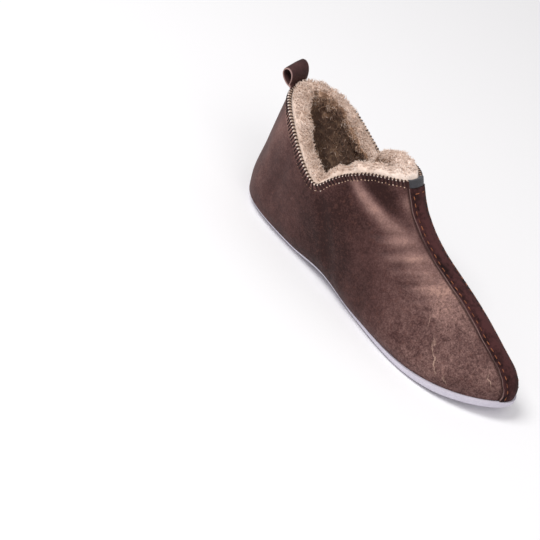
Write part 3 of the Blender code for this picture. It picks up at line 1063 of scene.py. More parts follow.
class SlipperSizes(PropertyGroup):
    """Sizes of the fine work on the shoe."""

    fold_share: FloatProperty(
        name="Fold depth", description="Share of the creases' full depth",
        default=1.0, min=0.0, max=1.5, subtype="FACTOR",
    )
    stitch_pitch: length_prop("Stitch pitch", "Step of the running stitches on the strip", 0.0054)
    stitch_length: length_prop("Stitch length", "Length of one running stitch", 0.0039)
    stitch_radius: length_prop("Stitch radius", "Radius of the strip's thread", 0.00040)
    stitch_inset: length_prop("Stitch inset", "Distance of the stitches from the strip's edge", 0.0029)
    overcast_pitch: length_prop("Overcast pitch", "Step of the thread bars over the collar's edge", 0.0027)
    overcast_reach: length_prop("Overcast reach", "How far a thread bar comes down the outside", 0.0049)
    overcast_radius: length_prop("Overcast radius", "Radius of the collar's thread", 0.00062)
    fibre_length: length_prop("Fibre length", "Length of the wool fibres over the pile", 0.0040)
    fibre_radius: length_prop("Fibre radius", "Radius of a wool fibre's root", 0.00028)
    rim_fibres: count_prop("Rim fibres", "Fibres on the puffed rim", 7400)
    inner_fibres: count_prop("Inner fibres", "Fibres on the inside", 7400)
    footbed_fibres: count_prop("Footbed fibres", "Fibres on the footbed", 4200)


class SlipperColours(PropertyGroup):
    """Colours of the shoe's finishes."""

    # The deepest hide colour also paints the shadow along the strip's edge
    hide_deep: colour_prop("Hide, deepest", "Creases and the darkest clouds", (0.030, 0.012, 0.011))
    hide_dark: colour_prop("Hide, dark", "Hide at the heel", (0.080, 0.037, 0.034))
    hide_middle: colour_prop("Hide, middle", "Even hide", (0.158, 0.085, 0.076))
    hide_worn: colour_prop("Hide, worn", "Hide at the toe", (0.266, 0.153, 0.133))
    # The pale colour also serves as the painted highlight along the ridge and the vamp
    hide_pale: colour_prop("Hide, pale", "Rubbed ridges", (0.413, 0.242, 0.198))
    hide_red: colour_prop("Hide, red", "Reddish flecks", (0.120, 0.050, 0.040))
    hide_crack: colour_prop("Hide, cracks", "Pale cracks in the finish", (0.500, 0.335, 0.260))
    cut_edge: colour_prop("Cut edge", "Edge of the hide at the collar", (0.420, 0.310, 0.240))
    suede_dark: colour_prop("Strip, dark", "Suede with the nap away", (0.014, 0.006, 0.006))
    suede_pale: colour_prop("Strip, pale", "Suede with the nap up", (0.072, 0.026, 0.026))
    suede_edge: colour_prop("Strip edge", "Cut edges of the strip and the loop", (0.380, 0.240, 0.220))
    strip_thread: colour_prop("Strip thread", "Rust thread", (0.330, 0.120, 0.055))
    strip_thread_dark: colour_prop("Strip thread, dark", "Rust thread in its twist", (0.120, 0.040, 0.024))
    collar_thread: colour_prop("Collar thread", "Overcast thread", (0.044, 0.018, 0.016))
    collar_thread_dark: colour_prop("Collar thread, dark", "Overcast in its twist", (0.012, 0.005, 0.005))
    wool_pale: colour_prop("Wool, pale", "Wool at the rim", (0.950, 0.795, 0.700))
    # Middle and deep wool colours: partly the wool's own browner depth, partly painted shade inside the
    # opening
    wool_middle: colour_prop("Wool, middle", "Wool below the rim", (0.520, 0.322, 0.208))
    wool_deep: colour_prop("Wool, deep", "Wool deep inside", (0.225, 0.130, 0.086))
    # The roots' colour is painted shade between the locks and at the fibres' roots
    wool_root: colour_prop("Wool, roots", "Between the locks", (0.300, 0.230, 0.185))
    loop_dark: colour_prop("Loop, dark", "Pull loop in its grain", (0.030, 0.012, 0.012))
    loop_pale: colour_prop("Loop, pale", "Pull loop", (0.080, 0.034, 0.032))
    label_dark: colour_prop("Tab, dark", "Bare tab between its threads", (0.020, 0.020, 0.024))
    label_pale: colour_prop("Tab, pale", "Bare tab", (0.050, 0.048, 0.057))
    foam_pale: colour_prop("Foam, pale", "Sole", (0.700, 0.665, 0.750))
    foam_grey: colour_prop("Foam, grey", "Spots on the sole", (0.600, 0.565, 0.650))
    floor: colour_prop("Floor", "Plain floor", (0.900, 0.895, 0.900))


class SlipperView(PropertyGroup):
    """Camera and light."""

    azimuth: angle_prop("Azimuth", "Turn of the view", 33.0)
    elevation: angle_prop("Elevation", "Height of the view", 37.6)
    roll: angle_prop("Roll", "Tilt of the picture", 23.5)
    lens: FloatProperty(
        name="Focal length", description="In millimetres", default=147.13, min=1.0, subtype="NONE"
    )
    right: length_prop("Right", "Shoe right of the picture's middle", 0.07245)
    down: length_prop("Down", "Shoe below the picture's middle", 0.01555)
    away: length_prop("Away", "Shoe away from the camera", 1.61675)
    sky: FloatProperty(name="Sky", description="Strength of the even light", default=0.50, min=0.0)
    key: power_prop("Key light", "Power of the main lamp", 13.6)
    fill: power_prop("Fill light", "Power of the second lamp", 4.5)


class SLIPPER_OT_upper(Operator):
    """Hide of the upper: the last with soft folds, a sunk back seam and a rounded collar edge"""

    bl_idname = "slipper.upper"
    bl_label = "Upper"

    def execute(self, context):
        angle = even_angles(HIDE_COLUMNS, level=0.4, back_share=1.6)[:, None]
        top = collar_level(angle)
        level = np.linspace(0, 1, HIDE_ROWS) * top
        height = relief(angle, level, context.scene.slipper_sizes.fold_share)
        outside = skin(angle, level, height)
        over = np.linspace(0, np.pi, HIDE_RIM_STEPS)[1:-1]
        share = (1 - np.cos(over)) / 2
        rim = skin(angle, top + 0 * over, height[:, -1:] * (1 - share) - WALL * share)
        rim = rim + upward(angle, top) * (HIDE_RIM_RISE * np.sin(over))[:, None]
        inside = skin(angle, np.linspace(1, 0, HIDE_INNER_ROWS) * top, -WALL)
        inside[:, -1, 2] = outside[:, 0, 2]
        points = np.concatenate((outside, rim, inside), 1)

        hidden = np.zeros((HIDE_COLUMNS, rim.shape[1] + inside.shape[1]))
        edge = hidden.copy()
        edge[:, : rim.shape[1]] = 1
        place = last(angle, level)
        toe = smooth_step((place[..., 0] - WEAR_START) / WEAR_LENGTH)
        crack, crack_fade = hide_cracks(angle, place)
        # Tone: the hide's own wear and colour, with painted highlight, sheen and shade from the patches
        tone = hide_tone(angle, place) + PUCKER_TONE * collar_pucker(angle, level)
        tone = tone + HEIGHT_TONE * np.clip(height, -HEIGHT_LIMIT, HEIGHT_LIMIT)
        pairs = {
            "tone": (tone, hidden + INNER_TONE),
            "crack": (crack, hidden + CRACK_REACH),
            "crack_fade": (crack_fade, hidden),
            "crackle": (0.12 + 0.6 * toe, hidden),
            # Painted shadow along the strip's edge
            "strip_shadow": (0.85 * strip_groove(angle, level), hidden),
            "edge": (np.zeros(level.shape), edge),
        }
        marks = {label: np.concatenate(pair, 1) for label, pair in pairs.items()}
        faces = [grid_faces(*points.shape[:2], True, True)]
        finish = once("brown_hide", hide_material, context.scene.slipper_colours)
        make_piece("upper_hide", points, faces, finish, ("upper",), marks)
        return {"FINISHED"}


def strip_angles(climb, shares):
    """Angles across the strip at one place up the shoe, with a hand-cut waver of its edges."""
    half = strip_half_width(climb)
    left = half + 0.28 * np.sin(climb * 31) + 0.18 * np.sin(climb * 67 + 1)
    right = half + 0.28 * np.sin(climb * 27 + 2) + 0.18 * np.sin(climb * 73)
    places = np.where(shares < 0, shares * left, shares * right)
    return seam_turns(climb, places), places


def strip_row(climb, shares, lift):
    """Points over the strip at one place up the shoe, with their outward directions."""
    angle = strip_angles(climb, shares)[0]
    level = climb * collar_level(angle)
    return skin(angle, level, lift), outward(angle, level)


def stitches(line, normals, sizes, seed):
    """Running stitches along a line: each thread rises out of the strip, arches over and sinks again."""
    radius = sizes.stitch_radius / MM
    lengths = path_lengths(line)
    count = int(lengths[-1] / (sizes.stitch_pitch / MM))
    share = np.linspace(-0.5, 0.5, STITCH_STEPS)
    random = np.random.default_rng(seed)
    middle = (np.arange(count) + 0.5) * lengths[-1] / count + random.normal(0, 0.12, count)
    at = middle[:, None] + share * (sizes.stitch_length / MM) * random.uniform(0.9, 1.08, (count, 1))
    path, top = (
        np.stack([np.interp(at, lengths, rows[:, k]) for k in range(3)], -1) for rows in (line, normals)
    )
    top = unit(top)
    along = unit(np.gradient(path, axis=1))
    slant = np.cross(top, along) * (share[:, None] * random.normal(0.3, 0.12, (count, 1, 1)))
    arch = radius * (1.3 * np.cos(np.pi * share) - 0.8)
    path = path + top * arch[:, None] + slant
    thick = radius * (0.55 + 0.45 * np.cos(np.pi * share) ** 0.5)
    return tubes(path, top, thick, THREAD_SIDES, flat=0.9)


def join(parts):
    """One set of points and faces from several."""
    points, sets, start = [], [], 0
    for part_points, part_sets in parts:
        points.append(part_points)
        sets.extend(faces + start for faces in part_sets)
        start += len(part_points)
    return np.concatenate(points), sets


class SLIPPER_OT_strip(Operator):
    """Suede strip over the front seam, its edges rounded and drawn down by two rows of stitches"""

    bl_idname = "slipper.strip"
    bl_label = "Centre strip"

    def execute(self, context):
        sizes = context.scene.slipper_sizes
        colours = context.scene.slipper_colours
        inset = sizes.stitch_inset / MM
        over_top = GAP + STRIP_THICK
        shares = np.linspace(-1, 1, STRIP_ACROSS)
        rim = np.clip((np.abs(shares) - 0.9) / 0.1, 0, 1)
        rounded = STRIP_ROUNDING * (1 - np.sqrt(1 - rim**2))
        sections, edges = [], []
        for climb in np.linspace(STRIP_FOOT, STRIP_TOP, STRIP_ROWS):
            places = strip_angles(climb, shares)[1]
            drawn = bell(np.abs(places) - strip_half_width(climb) + inset, STITCH_DIP_WIDTH)
            over, out = strip_row(climb, shares, over_top - rounded - STITCH_DIP * drawn)
            waver = 0.1 * soft_noise(over, size=5.0, seed=31) + 0.06 * soft_noise(over, size=2.2, seed=32)
            under = strip_row(climb, shares, GAP)[0]
            sections.append(np.concatenate((over + out * waver[:, None], under[::-1])))
            bare = (np.abs(shares) > 0.97) * (0.5 + 0.3 * np.sin(climb * 23) * np.sin(climb * 9 + 1))
            # Painted shade: the cut edge is only half as pale on the strip's underside
            edges.append(np.concatenate((bare, bare / 2)))
        points = np.array(sections)
        rows, size = points.shape[:2]
        faces = [grid_faces(rows, size, False, True), ladder_caps(rows, size)]
        # Mask of the painted highlight along the strip's crest
        crest_light = bell(np.concatenate((shares, shares[::-1])), 0.4)
        marks = {"edge": np.array(edges), "crest_light": np.broadcast_to(crest_light, (rows, size))}
        finish = once("dark_suede_strip", suede_material, colours)
        make_piece("suede_strip", points, faces, finish, ("centre_strip",), marks)

        runs = []
        for side in (-1, 1):
            rows = []
            for climb in np.linspace(FIRST_STITCH, LAST_STITCH, STITCH_ROWS):
                share = np.array([side * (1 - inset / strip_half_width(climb))])
                rows.append(strip_row(climb, share, over_top - STITCH_SINK))
            line, normals = (np.concatenate(part) for part in zip(*rows))
            runs.append(stitches(line, normals, sizes, STITCH_SEED + side))
        across = np.linspace(-1, 1, STITCHES_ACROSS) * (1 - inset / STRIP_WIDTHS[-1].half_width)
        line, normals = strip_row(TOP_STITCH, across, over_top - TOP_STITCH_SINK)
        runs.append(stitches(line, normals, sizes, TOP_STITCH_SEED))
        points, faces = join(runs)
        thread = once("rust_thread", thread_material, colours.strip_thread, colours.strip_thread_dark, 0.6)
        make_piece("strip_stitches", points, faces, thread)
        return {"FINISHED"}


class SLIPPER_OT_label(Operator):
    """Bare tape tab that hangs over the strip's end and folds onto the collar's edge"""

    bl_idname = "slipper.label"
    bl_label = "Label tab"

    def execute(self, context):
        fold = np.radians(np.linspace(0, 90, LABEL_FOLD))
        outer = GAP + LABEL_THICK / 2
        angle = seam_turns(1.0, np.linspace(-LABEL_WIDTH / 2, LABEL_WIDTH / 2, LABEL_COLUMNS))[:, None]
        level = collar_level(angle)
        per_mm = climb_per_mm(angle, level)
        drop = (1 - STRIP_TOP) * level / per_mm - 2 * GAP
        drops = np.concatenate((np.linspace(1, 0, LABEL_HANG + 1)[:-1], np.zeros(LABEL_FOLD + LABEL_END)))
        bend = outer - LABEL_BEND * (1 - np.cos(fold))
        onto = np.linspace(outer - LABEL_THICK, -WALL, LABEL_END)
        heights = np.concatenate((np.full(LABEL_HANG, outer), bend, onto))
        rise = LABEL_LIFT + LABEL_BEND * np.sin(fold)
        rises = np.concatenate((np.zeros(LABEL_HANG), rise, np.full(LABEL_END, rise[-1])))
        middle = skin(angle, level - drops * drop * per_mm, heights)
        middle = middle + upward(angle, level) * rises[:, None]
        middle = middle + outward(angle, level) * (0.12 * soft_noise(middle, size=5.0, seed=35))[..., None]
        run = np.gradient(middle, axis=1)
        side = unit(np.gradient(middle, axis=0))
        face = unit(np.cross(run, side)) * (LABEL_THICK / 2)
        points = np.concatenate((middle + face, (middle - face)[:, ::-1]), 1)
        shape = points.shape[:2]
        along = np.linspace(0, LABEL_WIDTH, LABEL_COLUMNS)[:, None]
        down = np.linspace(0, LABEL_LENGTH, len(drops))
        across = np.concatenate((down, down[::-1]))
        marks = {"along": np.broadcast_to(along, shape), "across": np.broadcast_to(across, shape)}
        faces = [grid_faces(*shape, False, True), ladder_caps(*shape)]
        finish = once("charcoal_tape", label_material, context.scene.slipper_colours)
        make_piece("label_tape", points, faces, finish, ("label_tab",), marks)
        return {"FINISHED"}


def below_edge(angle, fall):
    """Angles and levels of places a few millimetres straight down the hide from the collar's edge.

    The way down is square to the edge: least squares split it into a step round the last and a step up it.
    """
    angle, fall = np.broadcast_arrays(angle, fall)
    level = collar_level(angle)
    step = NORMAL_STEP
    along = last(angle + step, collar_level(angle + step)) - last(angle - step, collar_level(angle - step))
    down = unit(np.cross(along, outward(angle, level)))
    down = np.where(np.sum(down * upward(angle, level), -1, keepdims=True) > 0, -down, down)
    round_step = (last(angle + step, level) - last(angle - step, level)) / (2 * step)
    climb_step = (last(angle, level) - last(angle, level - step)) / step
    a, b, c, d, e = (
        np.sum(p * q, -1) for p, q in (
            (round_step, round_step), (round_step, climb_step), (climb_step, climb_step),
            (round_step, down), (climb_step, down),
        )
    )
    turn = (d * c - b * e) / (a * c - b * b)
    climb = (a * e - b * d) / (a * c - b * b)
    return angle + turn * fall, level + climb * fall, angle


class SLIPPER_OT_overcast(Operator):
    """Thread bars sewn over the collar's edge, with dots of wool drawn out between them"""

    bl_idname = "slipper.overcast"
    bl_label = "Collar thread"

    def execute(self, context):
        sizes = context.scene.slipper_sizes
        colours = context.scene.slipper_colours
        turns = np.linspace(0, 2 * np.pi, TURN_STEPS)
        lengths = path_lengths(last(turns, collar_level(turns)))
        bare = LABEL_WIDTH / 2 + 0.8
        count = int((lengths[-1] - 2 * bare) / (sizes.overcast_pitch / MM))
        places = bare + (np.arange(count)[:, None] + 0.5) * (lengths[-1] - 2 * bare) / count
        random = np.random.default_rng(OVERCAST_SEED)
        reach = sizes.overcast_reach / MM * random.uniform(0.88, 1.1, (count, 1))
        rear = smooth_step((angle_from_front(np.interp(places, lengths, turns)) - np.radians(85)) / 0.4)
        reach = reach * (0.88 + 0.22 * rear)
        radius = sizes.overcast_radius / MM
        steps, across, rise, hug, thick = np.array(BAR_STEPS).T
        lean = np.where(across < 1, -1.4, -0.6) * steps + random.normal(0, 0.12, (count, 1))
        angle, level, top_angle = below_edge(np.interp(places + lean, lengths, turns), steps * reach)
        hug = np.where(across < 1, radius * 0.45 * hug, -radius * 0.4)
        height = hug - WALL * across + relief(angle, level, sizes.fold_share)
        up = upward(top_angle, collar_level(top_angle))
        path = skin(angle, level, height) + up * (rise * radius * 0.9)[:, None]
        top = outward(angle, level) * (1 - 2 * across)[:, None] + up * (rise * 1.2)[:, None]
        points, faces = tubes(path, unit(top), radius * thick, THREAD_SIDES, flat=0.75)
        thread = once(
            "collar_thread", thread_material, colours.collar_thread, colours.collar_thread_dark, 0.55
        )
        make_piece("collar_thread_bars", points, faces, thread)

        half_step = lengths[-1] / count / 2 + np.linspace(-0.5, 0.5, len(DOT_SHAPE))
        upper_row = (0.1 - 0.1 * rear, 0.3 + 0.5 * rear, 0.0, 0.0)
        lower_row = (0.98, 0.42 - 0.3 * rear, -1.3, 0.56)
        parts, deep = [], []
        for down, size, bias, shade in (upper_row, lower_row):
            fall = reach * (down + random.uniform(-0.05, 0.05, (count, 1)))
            angle, level = below_edge(np.interp(places + half_step + bias, lengths, turns), fall)[:2]
            path = skin(angle, level, relief(angle, level, sizes.fold_share) + 0.15)
            dots = np.array(DOT_SHAPE) * size * random.uniform(0.75, 1.2, (count, 1))
            parts.append(tubes(path, outward(angle, level), dots, THREAD_SIDES, flat=0.8))
            deep.append(np.full(len(parts[-1][0]), shade))
        points, faces = join(parts)
        wool = once("sheep_wool", wool_material, colours)
        marks = {"deep": np.concatenate(deep), "tip": np.ones(len(points))}
        make_piece("wool_dots", points, faces, wool, (), marks)
        return {"FINISHED"}


def settled(normals):
    """Normals averaged with their neighbours, so that a thick offset doesn't fold at the ridge and toe."""
    for _ in range(NORMAL_PASSES):
        normals = normals + (np.roll(normals, 1, 0) + np.roll(normals, -1, 0)) / 2
        rows = np.concatenate((normals[:, :1], normals, normals[:, -1:]), 1)
        normals = unit(rows[:, 1:-1] + (rows[:, 2:] + rows[:, :-2]) / 2)
    return normals


def lining_grid():
    """Coat of wool inside the wall: up its back, over a puffed rim and down its face, as in the solids."""
    angle = ((np.arange(LINING_COLUMNS) + 0.5) * 2 * np.pi / LINING_COLUMNS)[:, None]
    climb = np.array(LINING_ROWS)
    level = np.maximum(climb * collar_level(angle), LINING_LEVEL)
    outside = skin(angle, level, -WALL - LINING_GAP)
    inward = -settled(outward(angle, level))
    locks = np.sin(LOCKS_AROUND * angle) * np.cos(LOCKS_UP * np.pi * climb)
    pile = FOOT_PILE + (PILE - FOOT_PILE) * np.clip(climb / FULL_PILE, 0, 1)
    pile = pile + (RIM_PILE - PILE) * climb**3 + LOCK_HEIGHT * climb * locks
    inside = outside + inward * pile[..., None]
    inside[..., 2] = np.maximum(inside[..., 2], outside[:, :1, 2])
    puff = RIM_PUFF + THROAT_PUFF * np.exp(-(angle_from_front(angle) ** 2)) + LOCK_HEIGHT * locks[:, -1:]
    arc = np.linspace(0, np.pi, LINING_RIM_STEPS)[1:-1]
    share = ((1 - np.cos(arc)) / 2)[:, None]
    rim = outside[:, -1:] + (inside[:, -1:] - outside[:, -1:]) * share
    rim = rim + upward(angle, level[:, -1:]) * (puff * np.sin(arc))[..., None]
    return np.concatenate((outside, rim, inside[:, ::-1]), 1), len(climb), len(arc)


def fibres(points, normals, deep, count, sizes, seed, closed=True):
    """Curled wool fibres rooted at random on a grid: each leans with its lock, bends and thins to its tip."""
    random = np.random.default_rng(seed)
    ahead = np.roll(points, -1, 0)
    corner = points[:, :-1]
    area = np.linalg.norm(np.cross(ahead[:, :-1] - corner, points[:, 1:] - corner), axis=-1)
    if not closed:
        area[-1] = 0
    picked = random.choice(area.size, count, p=area.ravel() / area.sum())
    i, j = np.unravel_index(picked, area.shape)
    u, v = random.random((2, count, 1))
    low, high = (points[i, row] * (1 - u) + ahead[i, row] * u for row in (j, j + 1))
    root = low * (1 - v) + high * v
    normal = normals[i, j]
    lock = np.stack([soft_noise(root, LOCK_SIZE, LOCK_SEED + k) for k in range(3)], -1)
    lean = lock * LOCK_LEAN + random.normal(0, 0.3, (count, 3))
    lean = lean - normal * np.sum(lean * normal, -1, keepdims=True)
    curl = np.cross(normal, unit(lean)) * random.normal(0, 0.28, (count, 1))
    reach = sizes.fibre_length / MM * random.uniform(0.55, 1.1, (count, 1, 1))
    steps = len(FIBRE_TAPER)
    share = np.linspace(0, 1, steps)[:, None]
    path = normal[:, None] * (share - 0.22 * share**2 - 0.15) + lean[:, None] * share**1.6 * 0.8
    path = root[:, None] + reach * (path + curl[:, None] * np.sin(np.pi * share * 1.3))
    thick = sizes.fibre_radius / MM * np.array(FIBRE_TAPER)
    top = np.broadcast_to(unit(lean + 0.3 * normal)[:, None], path.shape)
    made, faces = tubes(path, top, thick, FIBRE_SIDES, flat=1.0)
    shade = deep[i, j] * np.clip(1 + random.normal(0, 0.35, count), 0, 1.4)
    marks = {
        "deep": np.repeat(shade, steps * FIBRE_SIDES),
        # Painted shade: each fibre is dimmed towards its root
        "tip": np.tile(np.repeat(np.linspace(0.72, 1, steps), FIBRE_SIDES), count),
    }
    return made, faces, marks


class SLIPPER_OT_wool(Operator):
    """Wool of the sheepskin: a clumped pile over the collar and down the inside, with loose fibres on it"""

    bl_idname = "slipper.wool"
    bl_label = "Wool lining"

    def execute(self, context):
        sizes = context.scene.slipper_sizes
        coarse, back_rows, rim_rows = lining_grid()
        grid = refine(coarse, PILE_COLUMN_STEPS, True)
        grid = refine(grid.swapaxes(0, 1), PILE_ROW_STEPS, False).swapaxes(0, 1)
        normals = grid_normals(grid)
        if np.sum(normals[:, -8] * (grid[:, -8] - grid[:, 8])) < 0:
            normals = -normals
        rows = np.arange(grid.shape[1]) / PILE_ROW_STEPS
        shown = smooth_step((rows - back_rows + 1.5) / 2)
        clumps = 1 - tufts(grid, CLUMP_SIZE, seed=71)
        curls = 1 - tufts(grid, CURL_SIZE, seed=75)
        lift = (CLUMP_HEIGHT * clumps + CURL_HEIGHT * curls - PILE_SINK) * shown
        points = grid + normals * lift[..., None]

        # Depth: the wool darkens on its way down from the rim, sooner on the inner side, partly its own
        # browner depth and partly painted shade inside the opening; the rim is dimmed a little away from the
        # throat
        first = np.zeros((len(grid), 1))
        drop = np.concatenate((first, np.linalg.norm(np.diff(grid, axis=1), axis=-1)), 1)
        drop = np.cumsum(drop * (rows > back_rows + rim_rows * 0.55), 1)
        around = ((np.arange(len(grid)) / PILE_COLUMN_STEPS + 0.5) * 2 * np.pi / LINING_COLUMNS)[:, None]
        throat = bell(angle_from_front(around), THROAT_WIDTH)
        inner = side_share(around, -1)
        early = INNER_HEAD_START * inner * (1 - throat) * smooth_step(drop / 4)
        way = drop + early + DROP_WAVER * soft_noise(grid, size=8, seed=77)
        deep = smooth_step(way / (DEEP_DROP + INNER_DROP * inner))
        deep = np.maximum(deep, RIM_DEPTH * (1 - throat))
        # Tip share: painted shade low between the clumps and curls, and a painted highlight on the throat's
        # puff
        tip = np.clip(0.44 + 0.5 * clumps + 0.35 * curls + 0.25 * throat, 0, 1)
        faces = [grid_faces(*grid.shape[:2], True, True)]
        wool = once("sheep_wool", wool_material, context.scene.slipper_colours)
        make_piece("wool_pile", points, faces, wool, ("wool_lining",), {"deep": deep, "tip": tip})

        start = int((back_rows + 0.5) * PILE_ROW_STEPS)
        turn = int((back_rows + rim_rows + 2) * PILE_ROW_STEPS)
        for name, part, count, seed in (
            ("rim_fibres", slice(start, turn), sizes.rim_fibres, RIM_SEED),
            ("inner_fibres", slice(turn - PILE_ROW_STEPS, None), sizes.inner_fibres, INNER_SEED),
        ):
            made, faces, marks = fibres(points[:, part], normals[:, part], deep[:, part], count, sizes, seed)
            make_piece(name, made, faces, wool, (), marks)
        return {"FINISHED"}


class SLIPPER_OT_insole(Operator):
    """Fleece footbed on the sole, softly lumped on top, with loose fibres on it"""

    bl_idname = "slipper.insole"
    bl_label = "Insole"

    def execute(self, context):
        sizes = context.scene.slipper_sizes
        count = FOOTBED_COLUMNS
        half = count // 2
        angle = even_angles(count, level=0.0, back_share=0.0)
        low, high = (skin(angle, level, -WALL - GAP) for level in (0.0, INSOLE_LEVEL))
        low[:, 2] = SOLE_THICK + GAP + ground(low[:, 0])
        across = np.linspace(0, 1, FOOTBED_ROWS)[:, None]
        near, far = high[:half], high[: half - 1 : -1]
        top = near[:, None] * (1 - across) + far[:, None] * across
        lumps = 0.9 * (1 - tufts(top, size=4.5, seed=91)) + 0.5 * (1 - tufts(top, size=2.0, seed=92)) - 0.9
        top[:, 1:-1, 2] += lumps[:, 1:-1]
        top_index = np.arange(half * FOOTBED_ROWS).reshape(half, FOOTBED_ROWS) + count
        ring = np.concatenate((top_index[:, 0], top_index[::-1, -1]))
        following = np.roll(np.arange(count), -1)
        walls = np.stack((np.arange(count), following, ring[following], ring), -1)
        lumped = grid_faces(half, FOOTBED_ROWS, False, False)[:, ::-1] + count
        floor = ladder_caps(1, count)[: half - 1]
        ends = np.array((top_index[0], top_index[-1, ::-1]))
        points = np.concatenate((low, top.reshape(-1, 3)))
        # Deepest wool colour, dimmed: partly the fleece's own browner colour, partly painted shade deep in
        # the boot
        marks = {"deep": np.full(len(points), FOOTBED_DEPTH), "tip": np.full(len(points), FOOTBED_TIP)}
        finish = once("sheep_wool", wool_material, context.scene.slipper_colours)
        make_piece("fleece_footbed", points, [walls, lumped, floor, ends], finish, ("insole",), marks)

        middle = top[:, FOOTBED_EDGE:-FOOTBED_EDGE]
        upright = np.broadcast_to((0.0, 0.0, 1.0), middle.shape)
        deep = np.full(middle.shape[:2], FOOTBED_FIBRE_DEPTH)
        made, faces, marks = fibres(middle, upright, deep, sizes.footbed_fibres, sizes, FOOTBED_SEED, False)
        make_piece("footbed_fibres", made, faces, finish, (), marks)
        return {"FINISHED"}


class SLIPPER_OT_loop(Operator):
    """Leather pull loop bent to a drop over the back of the collar"""

    bl_idname = "slipper.loop"
    bl_label = "Pull loop"

    def execute(self, context):
        mouth = np.radians(LOOP_MOUTH)
        turns = np.linspace(mouth, 2 * np.pi - mouth, LOOP_STEPS)
        sideways = np.sin(turns) * np.sin(turns / 2) ** LOOP_TAPER
        climb = (1 - np.cos(turns)) / 2
        shares = np.linspace(-1, 1, LOOP_ACROSS)
        per_mm = 0.1 / np.linalg.norm(last(np.pi, 1.0) - last(np.pi - 0.1, 1.0))
        angles = np.pi + (shares * LOOP_WIDTH / 2 - LOOP_SHIFT) * per_mm
        seat = skin(angles, collar_level(angles), -WALL / 2)
        straight = seat.copy()
        straight[:, 0] = seat[:, 0].min()
        lean = np.radians(LOOP_LEAN)
        along = np.array((-np.sin(lean), 0.0, np.cos(lean)))
        across = np.array((-np.cos(lean), 0.0, -np.sin(lean)))
        rim = 0.3 * np.clip((np.abs(shares) - 0.88) / 0.12, 0, 1) ** 2
        skins = []
        for trim in (rim, 1 - rim):
            side = sideways[:, None] * (LOOP_DEPTH / 2 - LOOP_THICK * trim)
            up = LOOP_PINCH * trim + climb[:, None] * (LOOP_LENGTH - (LOOP_THICK + LOOP_PINCH) * trim)
            root = seat + (straight - seat) * np.minimum(up / LOOP_PINCH, 1)[..., None]
            up = up * (1 + LOOP_SKEW * shares)
            skins.append(root + across * side[..., None] + along * up[..., None] + (0, 0, GAP))
        points = np.concatenate((skins[0], skins[1][:, ::-1]), 1)
        shape = points.shape[:2]
        edge = np.abs(shares) > 0.95
        marks = {"edge": np.broadcast_to(np.concatenate((edge, edge)), shape)}
        finish = once("dark_loop_leather", loop_material, context.scene.slipper_colours)
        faces = [grid_faces(*shape, True, True)]
        make_piece("loop_leather", points, faces, finish, ("pull_loop",), marks)
        return {"FINISHED"}


class SLIPPER_OT_sole(Operator):
    """Pale foam outsole with a rounded lower edge, toe spring and a low arch"""

    bl_idname = "slipper.sole"
    bl_label = "Outsole"

    def execute(self, context):
        rings = sole_rings(SOLE_COLUMNS)
        shape = rings.shape[:2]
        faces = [grid_faces(*shape, False, True), ladder_caps(*shape)]
        finish = once("pale_foam", foam_material, context.scene.slipper_colours)
        make_piece("foam_sole", rings, faces, finish, ("outsole",))
        return {"FINISHED"}


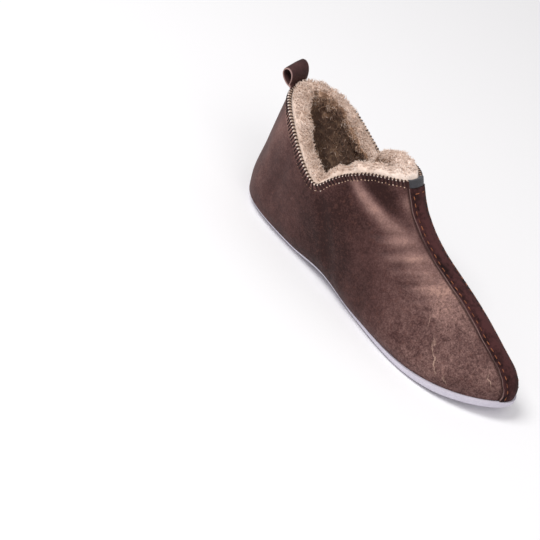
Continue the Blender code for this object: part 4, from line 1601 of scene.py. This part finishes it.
class SLIPPER_OT_stage(Operator):
    """Pale floor, soft lamps and the camera at the picture's angle to the shoe"""

    bl_idname = "slipper.stage"
    bl_label = "Stage"

    def execute(self, context):
        scene = context.scene
        view = scene.slipper_view
        side = np.array((-1.0, 1.0)) * FLOOR_REACH
        corners = np.stack(np.meshgrid(side, side, (FLOOR_HEIGHT,), indexing="ij"), -1).reshape(-1, 3)
        mesh = bpy.data.meshes.new("floor")
        mesh.from_pydata(corners.tolist(), [], [(0, 2, 3, 1)])
        mesh.materials.append(once("pale_floor", floor_material, scene.slipper_colours))
        floor = bpy.data.objects.new("floor", mesh)
        scene.collection.objects.link(floor)

        world = bpy.data.worlds.new("even_sky")
        world.use_nodes = True
        background = world.node_tree.nodes["Background"]
        background.inputs["Color"].default_value = colour(SKY_TINT)
        background.inputs["Strength"].default_value = view.sky
        scene.world = world

        turn = Matrix.Rotation(view.roll, 3, "Z") @ Matrix.Rotation(view.elevation, 3, "X")
        turn = turn @ Matrix(((1, 0, 0), (0, 0, -1), (0, 1, 0))) @ Matrix.Rotation(-view.azimuth, 3, "Z")
        camera = bpy.data.objects.new("camera", bpy.data.cameras.new("camera"))
        camera.data.lens = view.lens
        camera.data.sensor_width = SENSOR_WIDTH
        spin = (Matrix(((1, 0, 0), (0, -1, 0), (0, 0, -1))) @ turn).transposed()
        stand = turn.transposed() @ Vector((-view.right, -view.down, -view.away))
        camera.matrix_world = Matrix.Translation(stand) @ spin.to_4x4()
        scene.collection.objects.link(camera)
        scene.camera = camera
        scene.view_settings.view_transform = "Standard"

        for name, place, size, power in (
            ("key_lamp", (-0.38, -0.62, 1.32), 0.7, view.key),
            ("fill_lamp", (0.75, -0.50, 1.25), 0.9, view.fill),
        ):
            lamp = bpy.data.lights.new(name, "AREA")
            lamp.shape = "DISK"
            lamp.size = size
            lamp.energy = power
            light = bpy.data.objects.new(name, lamp)
            light.location = place
            light.rotation_euler = (-light.location).to_track_quat("-Z", "Y").to_euler()
            scene.collection.objects.link(light)
        return {"FINISHED"}


class SLIPPER_PT_panel(Panel):
    """Lists the shoe's pieces and their sizes and colours."""

    bl_label = "Slipper boot"
    bl_idname = "SLIPPER_PT_panel"
    bl_space_type = "VIEW_3D"
    bl_region_type = "UI"
    bl_category = "Slipper"

    def draw(self, context):
        layout = self.layout
        for operator in OPERATORS:
            layout.operator(operator.bl_idname)
        for group in (context.scene.slipper_sizes, context.scene.slipper_colours, context.scene.slipper_view):
            column = layout.column(align=True)
            for field in group.bl_rna.properties.keys():
                if field not in ("rna_type", "name"):
                    column.prop(group, field)


GROUPS = (SlipperSizes, SlipperColours, SlipperView)
OPERATORS = (
    SLIPPER_OT_upper,
    SLIPPER_OT_strip,
    SLIPPER_OT_label,
    SLIPPER_OT_overcast,
    SLIPPER_OT_wool,
    SLIPPER_OT_insole,
    SLIPPER_OT_loop,
    SLIPPER_OT_sole,
    SLIPPER_OT_stage,
)


def register():
    for item in (*GROUPS, *OPERATORS, SLIPPER_PT_panel):
        bpy.utils.register_class(item)
    bpy.types.Scene.slipper_sizes = PointerProperty(type=SlipperSizes)
    bpy.types.Scene.slipper_colours = PointerProperty(type=SlipperColours)
    bpy.types.Scene.slipper_view = PointerProperty(type=SlipperView)


def unregister():
    del bpy.types.Scene.slipper_view
    del bpy.types.Scene.slipper_colours
    del bpy.types.Scene.slipper_sizes
    for item in reversed((*GROUPS, *OPERATORS, SLIPPER_PT_panel)):
        bpy.utils.unregister_class(item)


def main():
    register()
    bpy.ops.slipper.upper()
    bpy.ops.slipper.strip()
    bpy.ops.slipper.label()
    bpy.ops.slipper.overcast()
    bpy.ops.slipper.wool()
    bpy.ops.slipper.insole()
    bpy.ops.slipper.loop()
    bpy.ops.slipper.sole()
    bpy.ops.slipper.stage()


if __name__ == "__main__":
    main()
